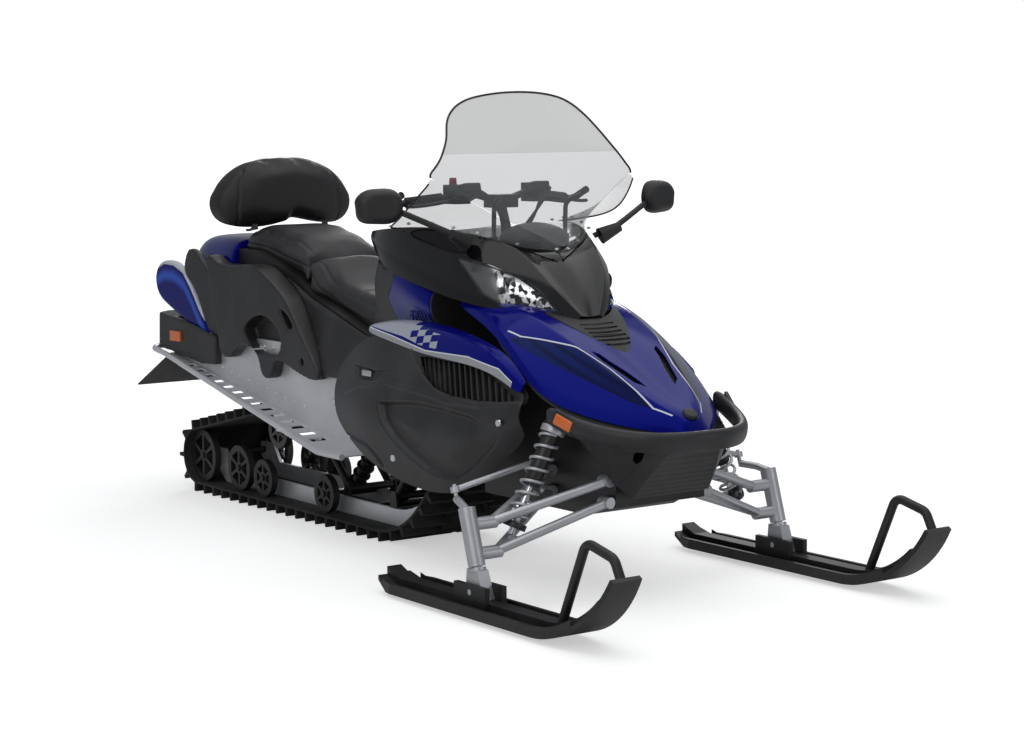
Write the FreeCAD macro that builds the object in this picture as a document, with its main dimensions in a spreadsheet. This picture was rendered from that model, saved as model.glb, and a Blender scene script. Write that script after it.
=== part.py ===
"""Touring snowmobile, full size, in millimetres.

Frame: +X towards the skis' tips, +Y to the rider's left, +Z up. The origin is on the floor
under the middle of the machine, so the ski runners and the track's lug tips are at z = 0.
Each sub-part is one labelled object of the document, and each label names its STEP file.
"""
import FreeCAD, Part
import math
import os

V = FreeCAD.Vector

# Driving sizes. Each is one independent length, angle or count of the real machine.
SIZES = {
    # Overall reach of the ski tips and of the snow flap from the origin
    "front_reach": 1610, "rear_reach": 1610,
    # Skis and king pins
    "ski_stance": 1098, "ski_width": 152, "ski_tip_height": 202, "ski_heel_x": 528,
    "ski_flat_front": 1290, "ski_plate": 14, "keel_depth": 12, "keel_width": 34, "rim_height": 16,
    "pin_low_x": 962, "pin_low_z": 92, "pin_top_x": 902, "pin_top_z": 288, "pin_radius": 13,
    "pin_gap": 0.3, "loop_radius": 13, "loop_top_z": 288, "loop_rear_x": 1441, "loop_front_x": 1556,
    # Track, its path and its lugs
    "track_width": 381, "belt_thick": 8, "lug_height": 30, "lug_count": 60, "lug_base": 16,
    "lug_tip": 9, "idler_x": -1371, "idler_radius": 94, "drive_x": 262, "drive_z": 420,
    "drive_radius": 82, "carrier_x": -818, "carrier_radius": 65, "carrier_z": 285,
    "front_bend": 350, "front_bend_x": -150, "run_gap": 0.3,
    # Slide rails and small wheels
    "rail_y": 100, "rail_thick": 12, "rail_depth": 55, "wheel_y": 150, "wheel_width": 24,
    "second_x": -1104, "second_radius": 80, "third_x": -931, "third_radius": 65,
    "fore_x": -516, "fore_radius": 64, "axle_radius": 11,
    # Tunnel and running boards
    "tunnel_width": 412, "tunnel_top": 600, "tunnel_wall": 3, "tunnel_front": 430,
    "tunnel_rear": -1470, "board_front_x": -253, "board_front_z": 288, "board_rear_z": 500,
    "board_front_reach": 338, "board_rear_reach": 252, "board_thick": 4, "edge_tube": 10,
    # Front frame, arms, shocks
    "frame_width": 320, "frame_floor": 236, "frame_top": 560, "frame_front": 1066, "frame_plate": 5,
    "upper_pivot_z": 344, "lower_pivot_z": 284, "arm_tube": 13, "arm_front_x": 1048,
    "arm_rear_x": 780, "ball_reach": 512, "tie_inner_y": 228,
    "knuckle_radius": 24, "shock_radius": 25, "spring_radius": 36, "spring_wire": 9,
    "spring_turns": 8, "shock_top_y": 250, "shock_top_z": 545, "shock_foot_x": 912, "shock_foot_y": 415,
    # Engine
    "engine_length": 380, "engine_width": 280, "engine_height": 380,
    # Bodywork
    "panel_wall": 4, "panel_seam": 0.6,
    "shield_wall": 4, "shield_top": 1428, "bumper_radius": 17,
    # Seats
    "seat_width": 330, "pad_thick": 128, "pod_reach": 248, "skirt_reach": 230,
    # Steering
    "bar_radius": 11, "grip_radius": 17, "bar_half": 345, "column_radius": 14,
    # Rear
    "tail_width": 380, "rear_cowl_width": 464, "rear_cowl_round": 46,
    "flap_low": 384, "flap_high": 500, "flap_half": 300, "flap_thick": 6,
    "hitch_z": 474, "hitch_plate": 10, "hitch_width": 64, "hitch_reach": 84, "hitch_bore": 8,
}

doc = FreeCAD.newDocument("snowmobile")
sheet = doc.addObject("Spreadsheet::Sheet", "Sizes")
for row, (alias, value) in enumerate(SIZES.items(), start=1):
    sheet.set("A%d" % row, alias)
    sheet.set("B%d" % row, str(value))
    sheet.setAlias("B%d" % row, alias)
doc.recompute()

parts = []


def size(alias):
    """A driving size, read back from the sheet."""
    return float(sheet.get(alias))


def keep(obj, label):
    """Name a finished sub-part after its file and list it for export."""
    for other in doc.getObjectsByLabel(label):
        other.Label = label + "_stock"
    obj.Label = label
    parts.append(obj)
    return obj


def pair(label, *names):
    """Put like pieces of one body in one sub-part, as solids that don't touch."""
    group = doc.addObject("Part::Compound", label)
    members = [obj for obj in parts if obj.Label in names]
    group.Links = members
    for obj in members:
        parts.remove(obj)
    parts.append(group)


def fixed(name, shape):
    """A free form that no single feature makes, as a plain shape object."""
    obj = doc.addObject("Part::Feature", name)
    obj.Shape = shape
    return obj


def fuse(name, *objs):
    """One solid made of several that meet."""
    obj = doc.addObject("Part::MultiFuse", name)
    obj.Shapes = list(objs)
    return obj


def cut(name, base, *tools):
    """The base with room made for each tool."""
    for index, tool in enumerate(tools):
        obj = doc.addObject("Part::Cut", name if index == 0 else "%s_%d" % (name, index))
        obj.Base = base
        obj.Tool = tool
        base = obj
    return base


def rod(name, start, end, radius_alias, extra=0.0):
    """A round bar between two points, its radius bound to the sheet."""
    obj = doc.addObject("Part::Cylinder", name)
    run = end - start
    obj.setExpression("Radius", "Sizes.%s + %g" % (radius_alias, extra) if extra else
                      "Sizes.%s" % radius_alias)
    obj.Height = run.Length
    obj.Placement = FreeCAD.Placement(start, FreeCAD.Rotation(V(0, 0, 1), run))
    return obj


def bent_tube(points, radius, bend):
    """A round tube along straight runs joined by tangent arcs."""
    edges = []
    last = points[0]
    for before, corner, after in zip(points, points[1:], points[2:]):
        into = (corner - before).normalize()
        out = (after - corner).normalize()
        half = into.getAngle(out) / 2
        room = 0.45 * min((corner - before).Length, (after - corner).Length)
        reach = min(bend * math.tan(half), room)
        start = corner - into * reach
        end = corner + out * reach
        turn = reach / math.tan(half)
        inward = (out - into).normalize()
        middle = corner + inward * (turn / math.cos(half) - turn)
        edges.append(Part.LineSegment(last, start).toShape())
        edges.append(Part.Arc(start, middle, end).toShape())
        last = end
    edges.append(Part.LineSegment(last, points[-1]).toShape())
    path = Part.Wire(edges)
    first = (points[1] - points[0]).normalize()
    ring = Part.Wire(Part.Circle(points[0], first, radius).toShape())
    return path.makePipeShell([ring], True, False)


def curve(points):
    """A smooth edge through a few points."""
    spline = Part.BSplineCurve()
    spline.interpolate(points)
    return spline.toShape()


def ribbon(outer, inner):
    """A closed section of a wall: its outer face, its inner face and the two edges."""
    return Part.Wire([curve(outer), Part.LineSegment(outer[-1], inner[-1]).toShape(),
                      curve(inner[::-1]), Part.LineSegment(inner[0], outer[0]).toShape()])


def across(x, half):
    """A line across the machine at a station, from its left half's (y, z), lower edge first."""
    left = [V(x, y, z) for y, z in half]
    return [V(p.x, -p.y, p.z) for p in left[:-1]] + [left[-1]] + left[-2::-1]


def skin(name, sections, wall):
    """A moulded wall through sections across the machine."""
    wires = []
    for x, half in sections:
        outer = across(x, half)
        inner = []
        last = len(outer) - 1
        for index, point in enumerate(outer):
            along = (outer[min(index + 1, last)] - outer[max(index - 1, 0)]).normalize()
            inner.append(point + V(0, along.z, -along.y) * wall)
        wires.append(ribbon(outer, inner))
    return fixed(name, Part.makeLoft(wires, True, False))


def filled(name, sections):
    """The closed solid inside such a skin's outer face, down to its lower edges."""
    wires = []
    for x, half in sections:
        outer = across(x, half)
        wires.append(Part.Wire([curve(outer), Part.LineSegment(outer[-1], outer[0]).toShape()]))
    return fixed(name, Part.makeLoft(wires, True, False))


def grown(sections, extra, below=0.0):
    """The same sections, larger all round and longer below, to leave a seam beside a panel."""
    rows = []
    for x, half in sections:
        (y0, z0), (y1, z1) = half[:2]
        reach = below / math.hypot(y0 - y1, z0 - z1)
        foot = [(y0 + (y0 - y1) * reach, z0 + (z0 - z1) * reach)] if below else []
        rows.append((x, [(y + extra if y else 0, z + extra) for y, z in foot + list(half)]))
    return rows


def side_wall(name, sections, sign, start, wall):
    """A moulded side cover through upright sections of (y, z), set in from them by a start."""
    wires = []
    for x, line in sections:
        outer = [V(x, sign * (y - start), z) for y, z in line]
        inner = [V(x, sign * (y - start - wall), z) for y, z in line]
        wires.append(ribbon(outer, inner))
    return fixed(name, Part.makeLoft(wires, True, False))


def prism(name, outline, low, high, smooth=False):
    """A side outline of (x, z) swept across the machine from one distance to another."""
    ring = [V(x, low, z) for x, z in outline]
    return fixed(name, swept(ring, V(0, high - low, 0), smooth))


def swept(ring, run, smooth):
    """A closed ring of points, straight or smooth, swept along a run."""
    if smooth:
        spline = Part.BSplineCurve()
        spline.interpolate(Points=ring, PeriodicFlag=True)
        return Part.Face(Part.Wire(spline.toShape())).extrude(run)
    return Part.Face(Part.makePolygon(ring + ring[:1])).extrude(run)


def plate_body(name, outline, thickness, y_alias=None, sign=1):
    """A flat plate with its outline in the XZ plane, padded about its own middle plane."""
    body = doc.addObject("PartDesign::Body", name)
    plane = [item for item in body.Origin.OriginFeatures if item.Role == "XZ_Plane"][0]
    sketch = body.newObject("Sketcher::SketchObject", name + "_outline")
    sketch.AttachmentSupport = [(plane, "")]
    sketch.MapMode = "FlatFace"
    ring = [V(x, z, 0) for x, z in outline]
    for start, end in zip(ring, ring[1:] + ring[:1]):
        sketch.addGeometry(Part.LineSegment(start, end))
    pad = body.newObject("PartDesign::Pad", name + "_pad")
    pad.Profile = sketch
    pad.Midplane = True
    pad.setExpression("Length", "Sizes.%s" % thickness)
    if y_alias:
        body.setExpression("Placement.Base.y", "%d * Sizes.%s" % (sign, y_alias))
    return body


# Places that several pieces share
inner_z = size("lug_height") + size("belt_thick")
idler = V(size("idler_x"), 0, inner_z + size("idler_radius"))
drive = V(size("drive_x"), 0, size("drive_z"))
carrier = V(size("carrier_x"), 0, size("carrier_z"))
bend = V(size("front_bend_x"), 0, inner_z + size("front_bend"))
tunnel_half = size("tunnel_width") / 2
board_slope = (size("board_rear_z") - size("board_front_z")) / (size("board_front_x") - size("tunnel_rear"))


COLUMN_FOOT = V(470, 0, 640)
COLUMN_TOP = V(300, 0, 1092)


def board_z(x):
    """Height of the running boards at a station."""
    return size("board_front_z") + board_slope * (size("board_front_x") - x)


def belt_path():
    """Centres, radii and turning limits of the belt's four bends, in travel order."""
    rounds = [(idler, size("idler_radius")), (bend, size("front_bend")),
              (drive, size("drive_radius")), (carrier, size("carrier_radius"))]
    leave = []
    for (here, r_here), (there, r_there) in zip(rounds, rounds[1:] + rounds[:1]):
        gap = there - here
        reach = gap.Length
        heading = math.atan2(gap.z, gap.x)
        leave.append(heading - math.pi / 2 - math.asin((r_here - r_there) / reach) * -1)
    stations = []
    for index, (centre, radius) in enumerate(rounds):
        start = leave[index - 1]
        end = leave[index]
        while end < start:
            end += 2 * math.pi
        while end - start > 2 * math.pi:
            end -= 2 * math.pi
        stations.append((centre, radius, start, end))
    return stations


def belt_runs(offset):
    """The belt's line at a height over its inner face, as runs with a length and a function."""
    runs = []
    bends = belt_path()
    for index, (centre, radius, start, end) in enumerate(bends):
        reach = radius + offset
        runs.append((radius * (end - start), "arc", centre, reach, start, end))
        nxt = bends[(index + 1) % len(bends)]
        leave = centre + V(math.cos(end), 0, math.sin(end)) * reach
        land = nxt[0] + V(math.cos(end), 0, math.sin(end)) * (nxt[1] + offset)
        runs.append(((land - leave).Length, "line", leave, land, end, end))
    return runs


def belt_point(travel, offset):
    """The point at a travel along the belt, and the outward direction there."""
    for length, kind, first, second, start, end in belt_runs(offset):
        if travel <= length:
            share = travel / length
            if kind == "arc":
                angle = start + (end - start) * share
                return first + V(math.cos(angle), 0, math.sin(angle)) * second
            return first + (second - first) * share
        travel -= length
    return belt_point(travel, offset)


def belt_profile(phase):
    """Closed side profile of the belt with one row of lugs."""
    total = sum(run[0] for run in belt_runs(0))
    count = int(size("lug_count"))
    pitch = total / count
    belt = size("belt_thick")
    tall = belt + size("lug_height")
    outer = []
    for index in range(count):
        middle = (index + phase) * pitch
        for shift, height in ((-size("lug_base") / 2, belt), (-size("lug_tip") / 2, tall),
                              (size("lug_tip") / 2, tall), (size("lug_base") / 2, belt),
                              (pitch / 2, belt)):
            outer.append(belt_point((middle + shift) % total, height))
    rim = Part.Face(Part.makePolygon(outer + outer[:1]))
    inner = []
    for length, kind, first, second, start, end in belt_runs(0):
        if kind == "line":
            inner.append(Part.LineSegment(first, second).toShape())
        else:
            spots = [first + V(math.cos(a), 0, math.sin(a)) * second
                     for a in (start, (start + end) / 2, end)]
            inner.append(Part.Arc(*spots).toShape())
    return rim.cut(Part.Face(Part.Wire(inner))).Faces[0]


def track():
    """Rubber belt with its lugs in three rows, the middle row half a pitch on."""
    half = size("track_width") / 2
    rows = ((-half, -half / 3, 0.0), (-half / 3, half / 3, 0.5), (half / 3, half, 0.0))
    solids = []
    for low, high, phase in rows:
        face = belt_profile(phase)
        face.translate(V(0, low, 0))
        solids.append(face.extrude(V(0, high - low, 0)))
    keep(fixed("track", solids[0].fuse(solids[1:])), "track")


def wheel(name, x, z, radius_alias, y_sign, hub_reach):
    """A spoked rubber-tyred wheel with its stub axle."""
    body = doc.addObject("PartDesign::Body", name)
    plane = [item for item in body.Origin.OriginFeatures if item.Role == "XZ_Plane"][0]
    radius = size(radius_alias) - size("run_gap")
    rim = radius - 16
    hub = size("axle_radius") + 8
    disc = body.newObject("Sketcher::SketchObject", name + "_disc")
    disc.AttachmentSupport = [(plane, "")]
    disc.MapMode = "FlatFace"
    disc.addGeometry(Part.Circle(V(0, 0, 0), V(0, 0, 1), radius))
    pad = body.newObject("PartDesign::Pad", name + "_tyre")
    pad.Profile = disc
    pad.Midplane = True
    pad.setExpression("Length", "Sizes.wheel_width")
    window = body.newObject("Sketcher::SketchObject", name + "_window")
    window.AttachmentSupport = [(plane, "")]
    window.MapMode = "FlatFace"
    spread = math.radians(24)
    low = hub + 4
    high = rim - 2
    corners = [V(low * math.cos(-spread * 0.7), low * math.sin(-spread * 0.7), 0),
               V(high * math.cos(-spread), high * math.sin(-spread), 0),
               V(high * math.cos(spread), high * math.sin(spread), 0),
               V(low * math.cos(spread * 0.7), low * math.sin(spread * 0.7), 0)]
    for start, end in zip(corners, corners[1:] + corners[:1]):
        window.addGeometry(Part.LineSegment(start, end))
    pocket = body.newObject("PartDesign::Pocket", name + "_spokes")
    pocket.Profile = window
    pocket.Midplane = True
    pocket.setExpression("Length", "Sizes.wheel_width * 2")
    around = body.newObject("PartDesign::PolarPattern", name + "_around")
    around.Originals = [pocket]
    around.Axis = (disc, ["N_Axis"])
    around.Angle = 360
    around.Occurrences = 6
    body.Tip = around
    body.Placement.Base = V(x, y_sign * size("wheel_y"), z)
    stub = rod(name + "_stub", V(x, y_sign * hub_reach, z),
               V(x, y_sign * (size("wheel_y") + size("wheel_width") / 2 + 6), z), "axle_radius")
    return fuse(name + "_on_stub", body, stub)


def track_wheels():
    """Rear idlers, three pairs of bogie wheels on the rails and a carrier pair on its shaft."""
    rail_face = size("rail_y") + size("rail_thick") / 2
    pairs = []
    for sign, side in ((-1, "right"), (1, "left")):
        for title, x, radius_alias in (("second", size("second_x"), "second_radius"),
                                       ("third", size("third_x"), "third_radius"),
                                       ("fore", size("fore_x"), "fore_radius")):
            pairs.append(wheel("%s_wheel_%s" % (title, side), x, inner_z + size(radius_alias),
                               radius_alias, sign, rail_face))
    group = doc.addObject("Part::Compound", "bogie_wheels")
    group.Links = pairs
    keep(group, "bogie_wheels")
    idlers = [wheel("idler_%s" % side, idler.x, idler.z, "idler_radius", sign, 0)
              for sign, side in ((-1, "right"), (1, "left"))]
    keep(fuse("rear_idlers", *idlers), "rear_idlers")
    carriers = [wheel("carrier_%s" % side, carrier.x, carrier.z, "carrier_radius", sign, 0)
                for sign, side in ((-1, "right"), (1, "left"))]
    return fuse("carrier_pair", *carriers)


def slide_rails():
    """Two aluminium rails, swept up at the front, drilled for the idler axle."""
    depth = size("rail_depth")
    low = inner_z + size("run_gap")
    big = size("front_bend") - size("run_gap")
    tail = idler.x - 30
    sides = []
    for sign, side in ((-1, "right"), (1, "left")):
        lift = [math.radians(a) for a in (8, 16, 24, 31)]
        outline = [(bend.x, low)]
        outline += [(bend.x + big * math.sin(a), bend.z - big * math.cos(a)) for a in lift]
        outline += [(bend.x + (big - depth) * math.sin(a), bend.z - (big - depth) * math.cos(a))
                    for a in lift[::-1]]
        outline += [(bend.x, low + depth), (idler.x + 110, low + depth),
                    (idler.x + 60, idler.z + 26), (tail, idler.z + 26), (tail, idler.z - 26),
                    (idler.x + 70, low)]
        sides.append(plate_body("rail_%s" % side, outline, "rail_thick", "rail_y", sign))
    ties = [rod("rail_tie_%d" % index, V(x, -size("rail_y"), z), V(x, size("rail_y"), z),
                "axle_radius")
            for index, (x, z) in enumerate(((-700, low + depth / 2), (-330, low + depth / 2),
                                            (bend.x + 120, low + depth / 2 + 22)))]
    rails = fuse("rails_tied", *(sides + ties))
    bore = rod("idler_bore", V(idler.x, -tunnel_half, idler.z), V(idler.x, tunnel_half, idler.z),
               "axle_radius")
    keep(cut("slide_rails", rails, bore), "slide_rails")


def drive_axle():
    """Cross axle in the tunnel's bearings with two toothed drive sprockets."""
    reach = tunnel_half - size("tunnel_wall")
    axle = rod("axle_bar", V(drive.x, -reach, drive.z), V(drive.x, reach, drive.z), "column_radius")
    wheels = [axle]
    tip = size("drive_radius") - size("run_gap")
    for sign, side in ((-1, "right"), (1, "left")):
        body = doc.addObject("PartDesign::Body", "sprocket_" + side)
        plane = [item for item in body.Origin.OriginFeatures if item.Role == "XZ_Plane"][0]
        disc = body.newObject("Sketcher::SketchObject", "sprocket_disc_" + side)
        disc.AttachmentSupport = [(plane, "")]
        disc.MapMode = "FlatFace"
        disc.addGeometry(Part.Circle(V(0, 0, 0), V(0, 0, 1), tip - 12))
        pad = body.newObject("PartDesign::Pad", "sprocket_pad_" + side)
        pad.Profile = disc
        pad.Midplane = True
        pad.setExpression("Length", "Sizes.wheel_width")
        tooth = body.newObject("Sketcher::SketchObject", "sprocket_tooth_" + side)
        tooth.AttachmentSupport = [(plane, "")]
        tooth.MapMode = "FlatFace"
        corners = [V(-10, tip - 20, 0), V(10, tip - 20, 0), V(6, tip, 0), V(-6, tip, 0)]
        for start, end in zip(corners, corners[1:] + corners[:1]):
            tooth.addGeometry(Part.LineSegment(start, end))
        lug = body.newObject("PartDesign::Pad", "sprocket_lug_" + side)
        lug.Profile = tooth
        lug.Midplane = True
        lug.setExpression("Length", "Sizes.wheel_width")
        around = body.newObject("PartDesign::PolarPattern", "sprocket_teeth_" + side)
        around.Originals = [lug]
        around.Axis = (disc, ["N_Axis"])
        around.Angle = 360
        around.Occurrences = 9
        body.Tip = around
        body.Placement.Base = V(drive.x, sign * size("rail_y"), drive.z)
        wheels.append(body)
    keep(fuse("drive_axle", *wheels), "drive_axle")


def suspension_arms(carrier_pair):
    """Front and rear swing arms between the tunnel and the rails, and the carrier shaft."""
    reach = tunnel_half - size("tunnel_wall")
    rail_in = size("rail_y") - size("rail_thick") / 2
    front_top = V(40, 0, 400)
    front_foot = V(-190, 0, inner_z + size("rail_depth") + 34)
    rear_top = V(-700, 0, 318)
    rear_foot = V(-480, 0, inner_z + size("rail_depth") + 22)
    solids = []
    for title, top, foot in (("front", front_top, front_foot), ("rear", rear_top, rear_foot)):
        pieces = [rod(title + "_arm_shaft", V(top.x, -reach, top.z), V(top.x, reach, top.z),
                      "arm_tube"),
                  rod(title + "_arm_foot", V(foot.x, -rail_in, foot.z), V(foot.x, rail_in, foot.z),
                      "arm_tube")]
        for sign, side in ((-1, "right"), (1, "left")):
            pieces.append(rod("%s_arm_leg_%s" % (title, side), V(top.x, sign * 78, top.z),
                              V(foot.x, sign * 78, foot.z), "arm_tube"))
            ear = plate_body("%s_arm_ear_%s" % (title, side),
                             [(foot.x - 22, inner_z + size("rail_depth") - 12),
                              (foot.x + 22, inner_z + size("rail_depth") - 12),
                              (foot.x + 16, foot.z + 16), (foot.x - 16, foot.z + 16)],
                             "frame_plate")
            ear.Placement.Base = V(0, sign * (rail_in - size("frame_plate") / 2), 0)
            pieces.append(ear)
        solids.append(fuse(title + "_arm", *pieces))
    link = [rod("carrier_link_" + side, V(carrier.x, sign * 78, carrier.z),
                V(rear_top.x, sign * 78, rear_top.z), "axle_radius")
            for sign, side in ((-1, "right"), (1, "left"))]
    solids[1] = fuse("rear_arm_with_carrier", solids[1], carrier_pair, *link)
    group = doc.addObject("Part::Compound", "suspension_arms")
    group.Links = solids
    keep(group, "suspension_arms")
    dampers = []
    for title, foot, top in (("front", V(-300, 0, inner_z + size("rail_depth") - 12), V(-60, 0, 372)),
                             ("rear", V(-600, 0, inner_z + size("rail_depth") - 12), V(-330, 0, 372))):
        run = top - foot
        pieces = [rod(title + "_damper_rod", foot, top, "axle_radius"),
                  rod(title + "_damper_can", foot + run * 0.45, foot + run * 0.92, "shock_radius"),
                  coil_spring(title + "_damper_coil", foot + run * 0.1, foot + run * 0.86)]
        for end, spot in (("low", foot), ("high", top)):
            reach_y = rail_in if end == "low" else reach
            pieces.append(rod("%s_damper_pin_%s" % (title, end), V(spot.x, -reach_y, spot.z),
                              V(spot.x, reach_y, spot.z), "axle_radius"))
        dampers.append(fuse(title + "_damper", *pieces))
    shocks = doc.addObject("Part::Compound", "track_shocks")
    shocks.Links = dampers
    keep(shocks, "track_shocks")


def tunnel():
    """Folded aluminium tunnel: a flat top and two side walls, closed at the front."""
    front = size("tunnel_front")
    rear = size("tunnel_rear")
    top = size("tunnel_top")
    low = size("board_front_z")
    outline = [(rear, board_z(rear)), (rear, top), (front, top), (front, low - 2),
               (size("board_front_x"), low - 2), (-640, board_z(-640) - 2), (-650, 292),
               (-750, 292), (-775, board_z(-775) - 2)]
    body = plate_body("tunnel_shell", outline, "tunnel_width")
    wall = size("tunnel_wall")
    plane = [item for item in body.Origin.OriginFeatures if item.Role == "XZ_Plane"][0]
    inside = body.newObject("Sketcher::SketchObject", "tunnel_inside")
    inside.AttachmentSupport = [(plane, "")]
    inside.MapMode = "FlatFace"
    corners = [V(rear - 20, low - 300, 0), V(rear - 20, top - wall, 0), V(front - wall, top - wall, 0),
               V(front - wall, low - 300, 0)]
    for start, end in zip(corners, corners[1:] + corners[:1]):
        inside.addGeometry(Part.LineSegment(start, end))
    pocket = body.newObject("PartDesign::Pocket", "tunnel_hollow")
    pocket.Profile = inside
    pocket.Midplane = True
    pocket.setExpression("Length", "Sizes.tunnel_width - 2 * Sizes.tunnel_wall")
    keep(body, "tunnel")


def running_boards():
    """Sloped foot boards with grip slots and a round outer edge."""
    front = size("board_front_x") + 150
    rear = size("tunnel_rear")
    thick = size("board_thick")
    for sign, side in ((-1, "right"), (1, "left")):
        near = tunnel_half
        wires = []
        for x, reach, z in ((rear, size("board_rear_reach"), board_z(rear)),
                            (size("board_front_x"), size("board_front_reach"), size("board_front_z")),
                            (front, size("board_front_reach"), size("board_front_z"))):
            wires.append(Part.makePolygon([V(x, sign * near, z), V(x, sign * reach, z),
                                           V(x, sign * reach, z + thick), V(x, sign * near, z + thick),
                                           V(x, sign * near, z)]))
        sheet_shape = Part.makeLoft(wires, True, True)
        slots = []
        for index in range(14):
            x = rear + 150 + index * 72
            share = (x - rear) / (size("board_front_x") - rear)
            reach = size("board_rear_reach") + share * (size("board_front_reach") - size("board_rear_reach"))
            width = (reach - near) * 0.5
            middle = sign * (near + (reach - near) * 0.5)
            slot = Part.makeBox(34, width, 60, V(x, middle - width / 2, board_z(x) - 30))
            slots.append(slot)
        sheet_shape = sheet_shape.cut(slots)
        edge = bent_tube([V(rear, sign * size("board_rear_reach"), board_z(rear) + thick / 2),
                          V(size("board_front_x"), sign * size("board_front_reach"),
                            size("board_front_z") + thick / 2),
                          V(front, sign * size("board_front_reach"), size("board_front_z") + thick / 2)],
                         size("edge_tube"), 200)
        keep(fixed("running_board_" + side, sheet_shape.fuse(edge).removeSplitter()),
             "running_board_" + side)


def front_frame():
    """Box of plates ahead of the tunnel that holds the engine and the arm pivots."""
    half = size("frame_width") / 2
    floor = size("frame_floor")
    top = size("frame_top")
    front = size("frame_front")
    rear = size("tunnel_front")
    plate = size("frame_plate")
    nose_floor = size("lower_pivot_z") - size("arm_tube") - 3
    outline = [(rear, floor - plate), (front - 136, floor - plate), (front - 66, nose_floor),
               (front, nose_floor), (front, size("upper_pivot_z") + 28), (front - 116, top), (rear, top)]
    body = plate_body("frame_box", outline, "frame_width")
    plane = [item for item in body.Origin.OriginFeatures if item.Role == "XZ_Plane"][0]
    inside = body.newObject("Sketcher::SketchObject", "frame_inside")
    inside.AttachmentSupport = [(plane, "")]
    inside.MapMode = "FlatFace"
    corners = [V(rear + plate, floor, 0), V(front - 138, floor, 0), V(front - 68, nose_floor + plate, 0),
               V(front - plate, nose_floor + plate, 0), V(front - plate, size("upper_pivot_z") + 25, 0),
               V(front - 122, top + 40, 0), V(rear + plate, top + 40, 0)]
    for start, end in zip(corners, corners[1:] + corners[:1]):
        inside.addGeometry(Part.LineSegment(start, end))
    pocket = body.newObject("PartDesign::Pocket", "frame_hollow")
    pocket.Profile = inside
    pocket.Midplane = True
    pocket.setExpression("Length", "Sizes.frame_width - 2 * Sizes.frame_plate")
    keep(fuse("frame_with_bearing", body, column_bearing()), "front_frame")
    engine = doc.addObject("Part::Box", "engine_block")
    engine.setExpression("Length", "Sizes.engine_length")
    engine.setExpression("Width", "Sizes.engine_width")
    engine.setExpression("Height", "Sizes.engine_height")
    engine.Placement.Base = V(rear + 40, -size("engine_width") / 2, floor)
    keep(engine, "engine_block")


def column_bearing():
    """Bridge over the engine bay that carries the steering column's foot in a plain ring."""
    along = (COLUMN_TOP - COLUMN_FOOT).normalize()
    outer = size("column_radius") + 10
    deep = 30
    ring = Part.makeCylinder(outer, deep, COLUMN_FOOT - along * 4, along)
    room = Part.makeCylinder(size("column_radius") + size("pin_gap"), deep + 20, COLUMN_FOOT, along)
    foot_y = size("frame_width") / 2 - size("frame_plate") / 2
    legs = []
    for sign in (-1, 1):
        knee = COLUMN_FOOT + V(-14, sign * (outer + 40), 2)
        foot = V(COLUMN_FOOT.x - 22, sign * foot_y, size("frame_top") - 20)
        start = COLUMN_FOOT + V(0, sign * (outer - 4), 6)
        legs.append(bent_tube([start, knee, foot], 9, 30))
    return fixed("column_bearing", ring.fuse(legs).cut(room))


def pin_point(share, sign):
    """A point on a king pin's axis, from 0 at the ski saddle to 1 at its cap."""
    y = sign * size("ski_stance") / 2
    return V(size("pin_low_x") + share * (size("pin_top_x") - size("pin_low_x")), y,
             size("pin_low_z") + share * (size("pin_top_z") - size("pin_low_z")))


def coil_spring(name, start, end):
    """A coil spring drawn as its turns over a sleeve, revolved about the damper."""
    run = end - start
    turns = int(size("spring_turns"))
    wire = size("spring_wire") / 2
    core = size("spring_radius") - 3 * wire
    pitch = run.Length / turns
    edges = [Part.LineSegment(V(0, 0, 0), V(core, 0, 0)).toShape()]
    for index in range(turns):
        middle = (index + 0.5) * pitch
        low = V(core, 0, middle - wire)
        high = V(core, 0, middle + wire)
        edges.append(Part.LineSegment(V(core, 0, index * pitch), low).toShape())
        edges.append(Part.LineSegment(low, V(core + wire, 0, middle - wire)).toShape())
        edges.append(Part.Arc(V(core + wire, 0, middle - wire), V(core + 2 * wire, 0, middle),
                              V(core + wire, 0, middle + wire)).toShape())
        edges.append(Part.LineSegment(V(core + wire, 0, middle + wire), high).toShape())
        edges.append(Part.LineSegment(high, V(core, 0, (index + 1) * pitch)).toShape())
    edges.append(Part.LineSegment(V(core, 0, run.Length), V(0, 0, run.Length)).toShape())
    edges.append(Part.LineSegment(V(0, 0, run.Length), V(0, 0, 0)).toShape())
    spun = Part.Face(Part.Wire(edges)).revolve(V(0, 0, 0), V(0, 0, 1), 360)
    obj = fixed(name, spun)
    obj.Placement = FreeCAD.Placement(start, FreeCAD.Rotation(V(0, 0, 1), run))
    return obj


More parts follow.
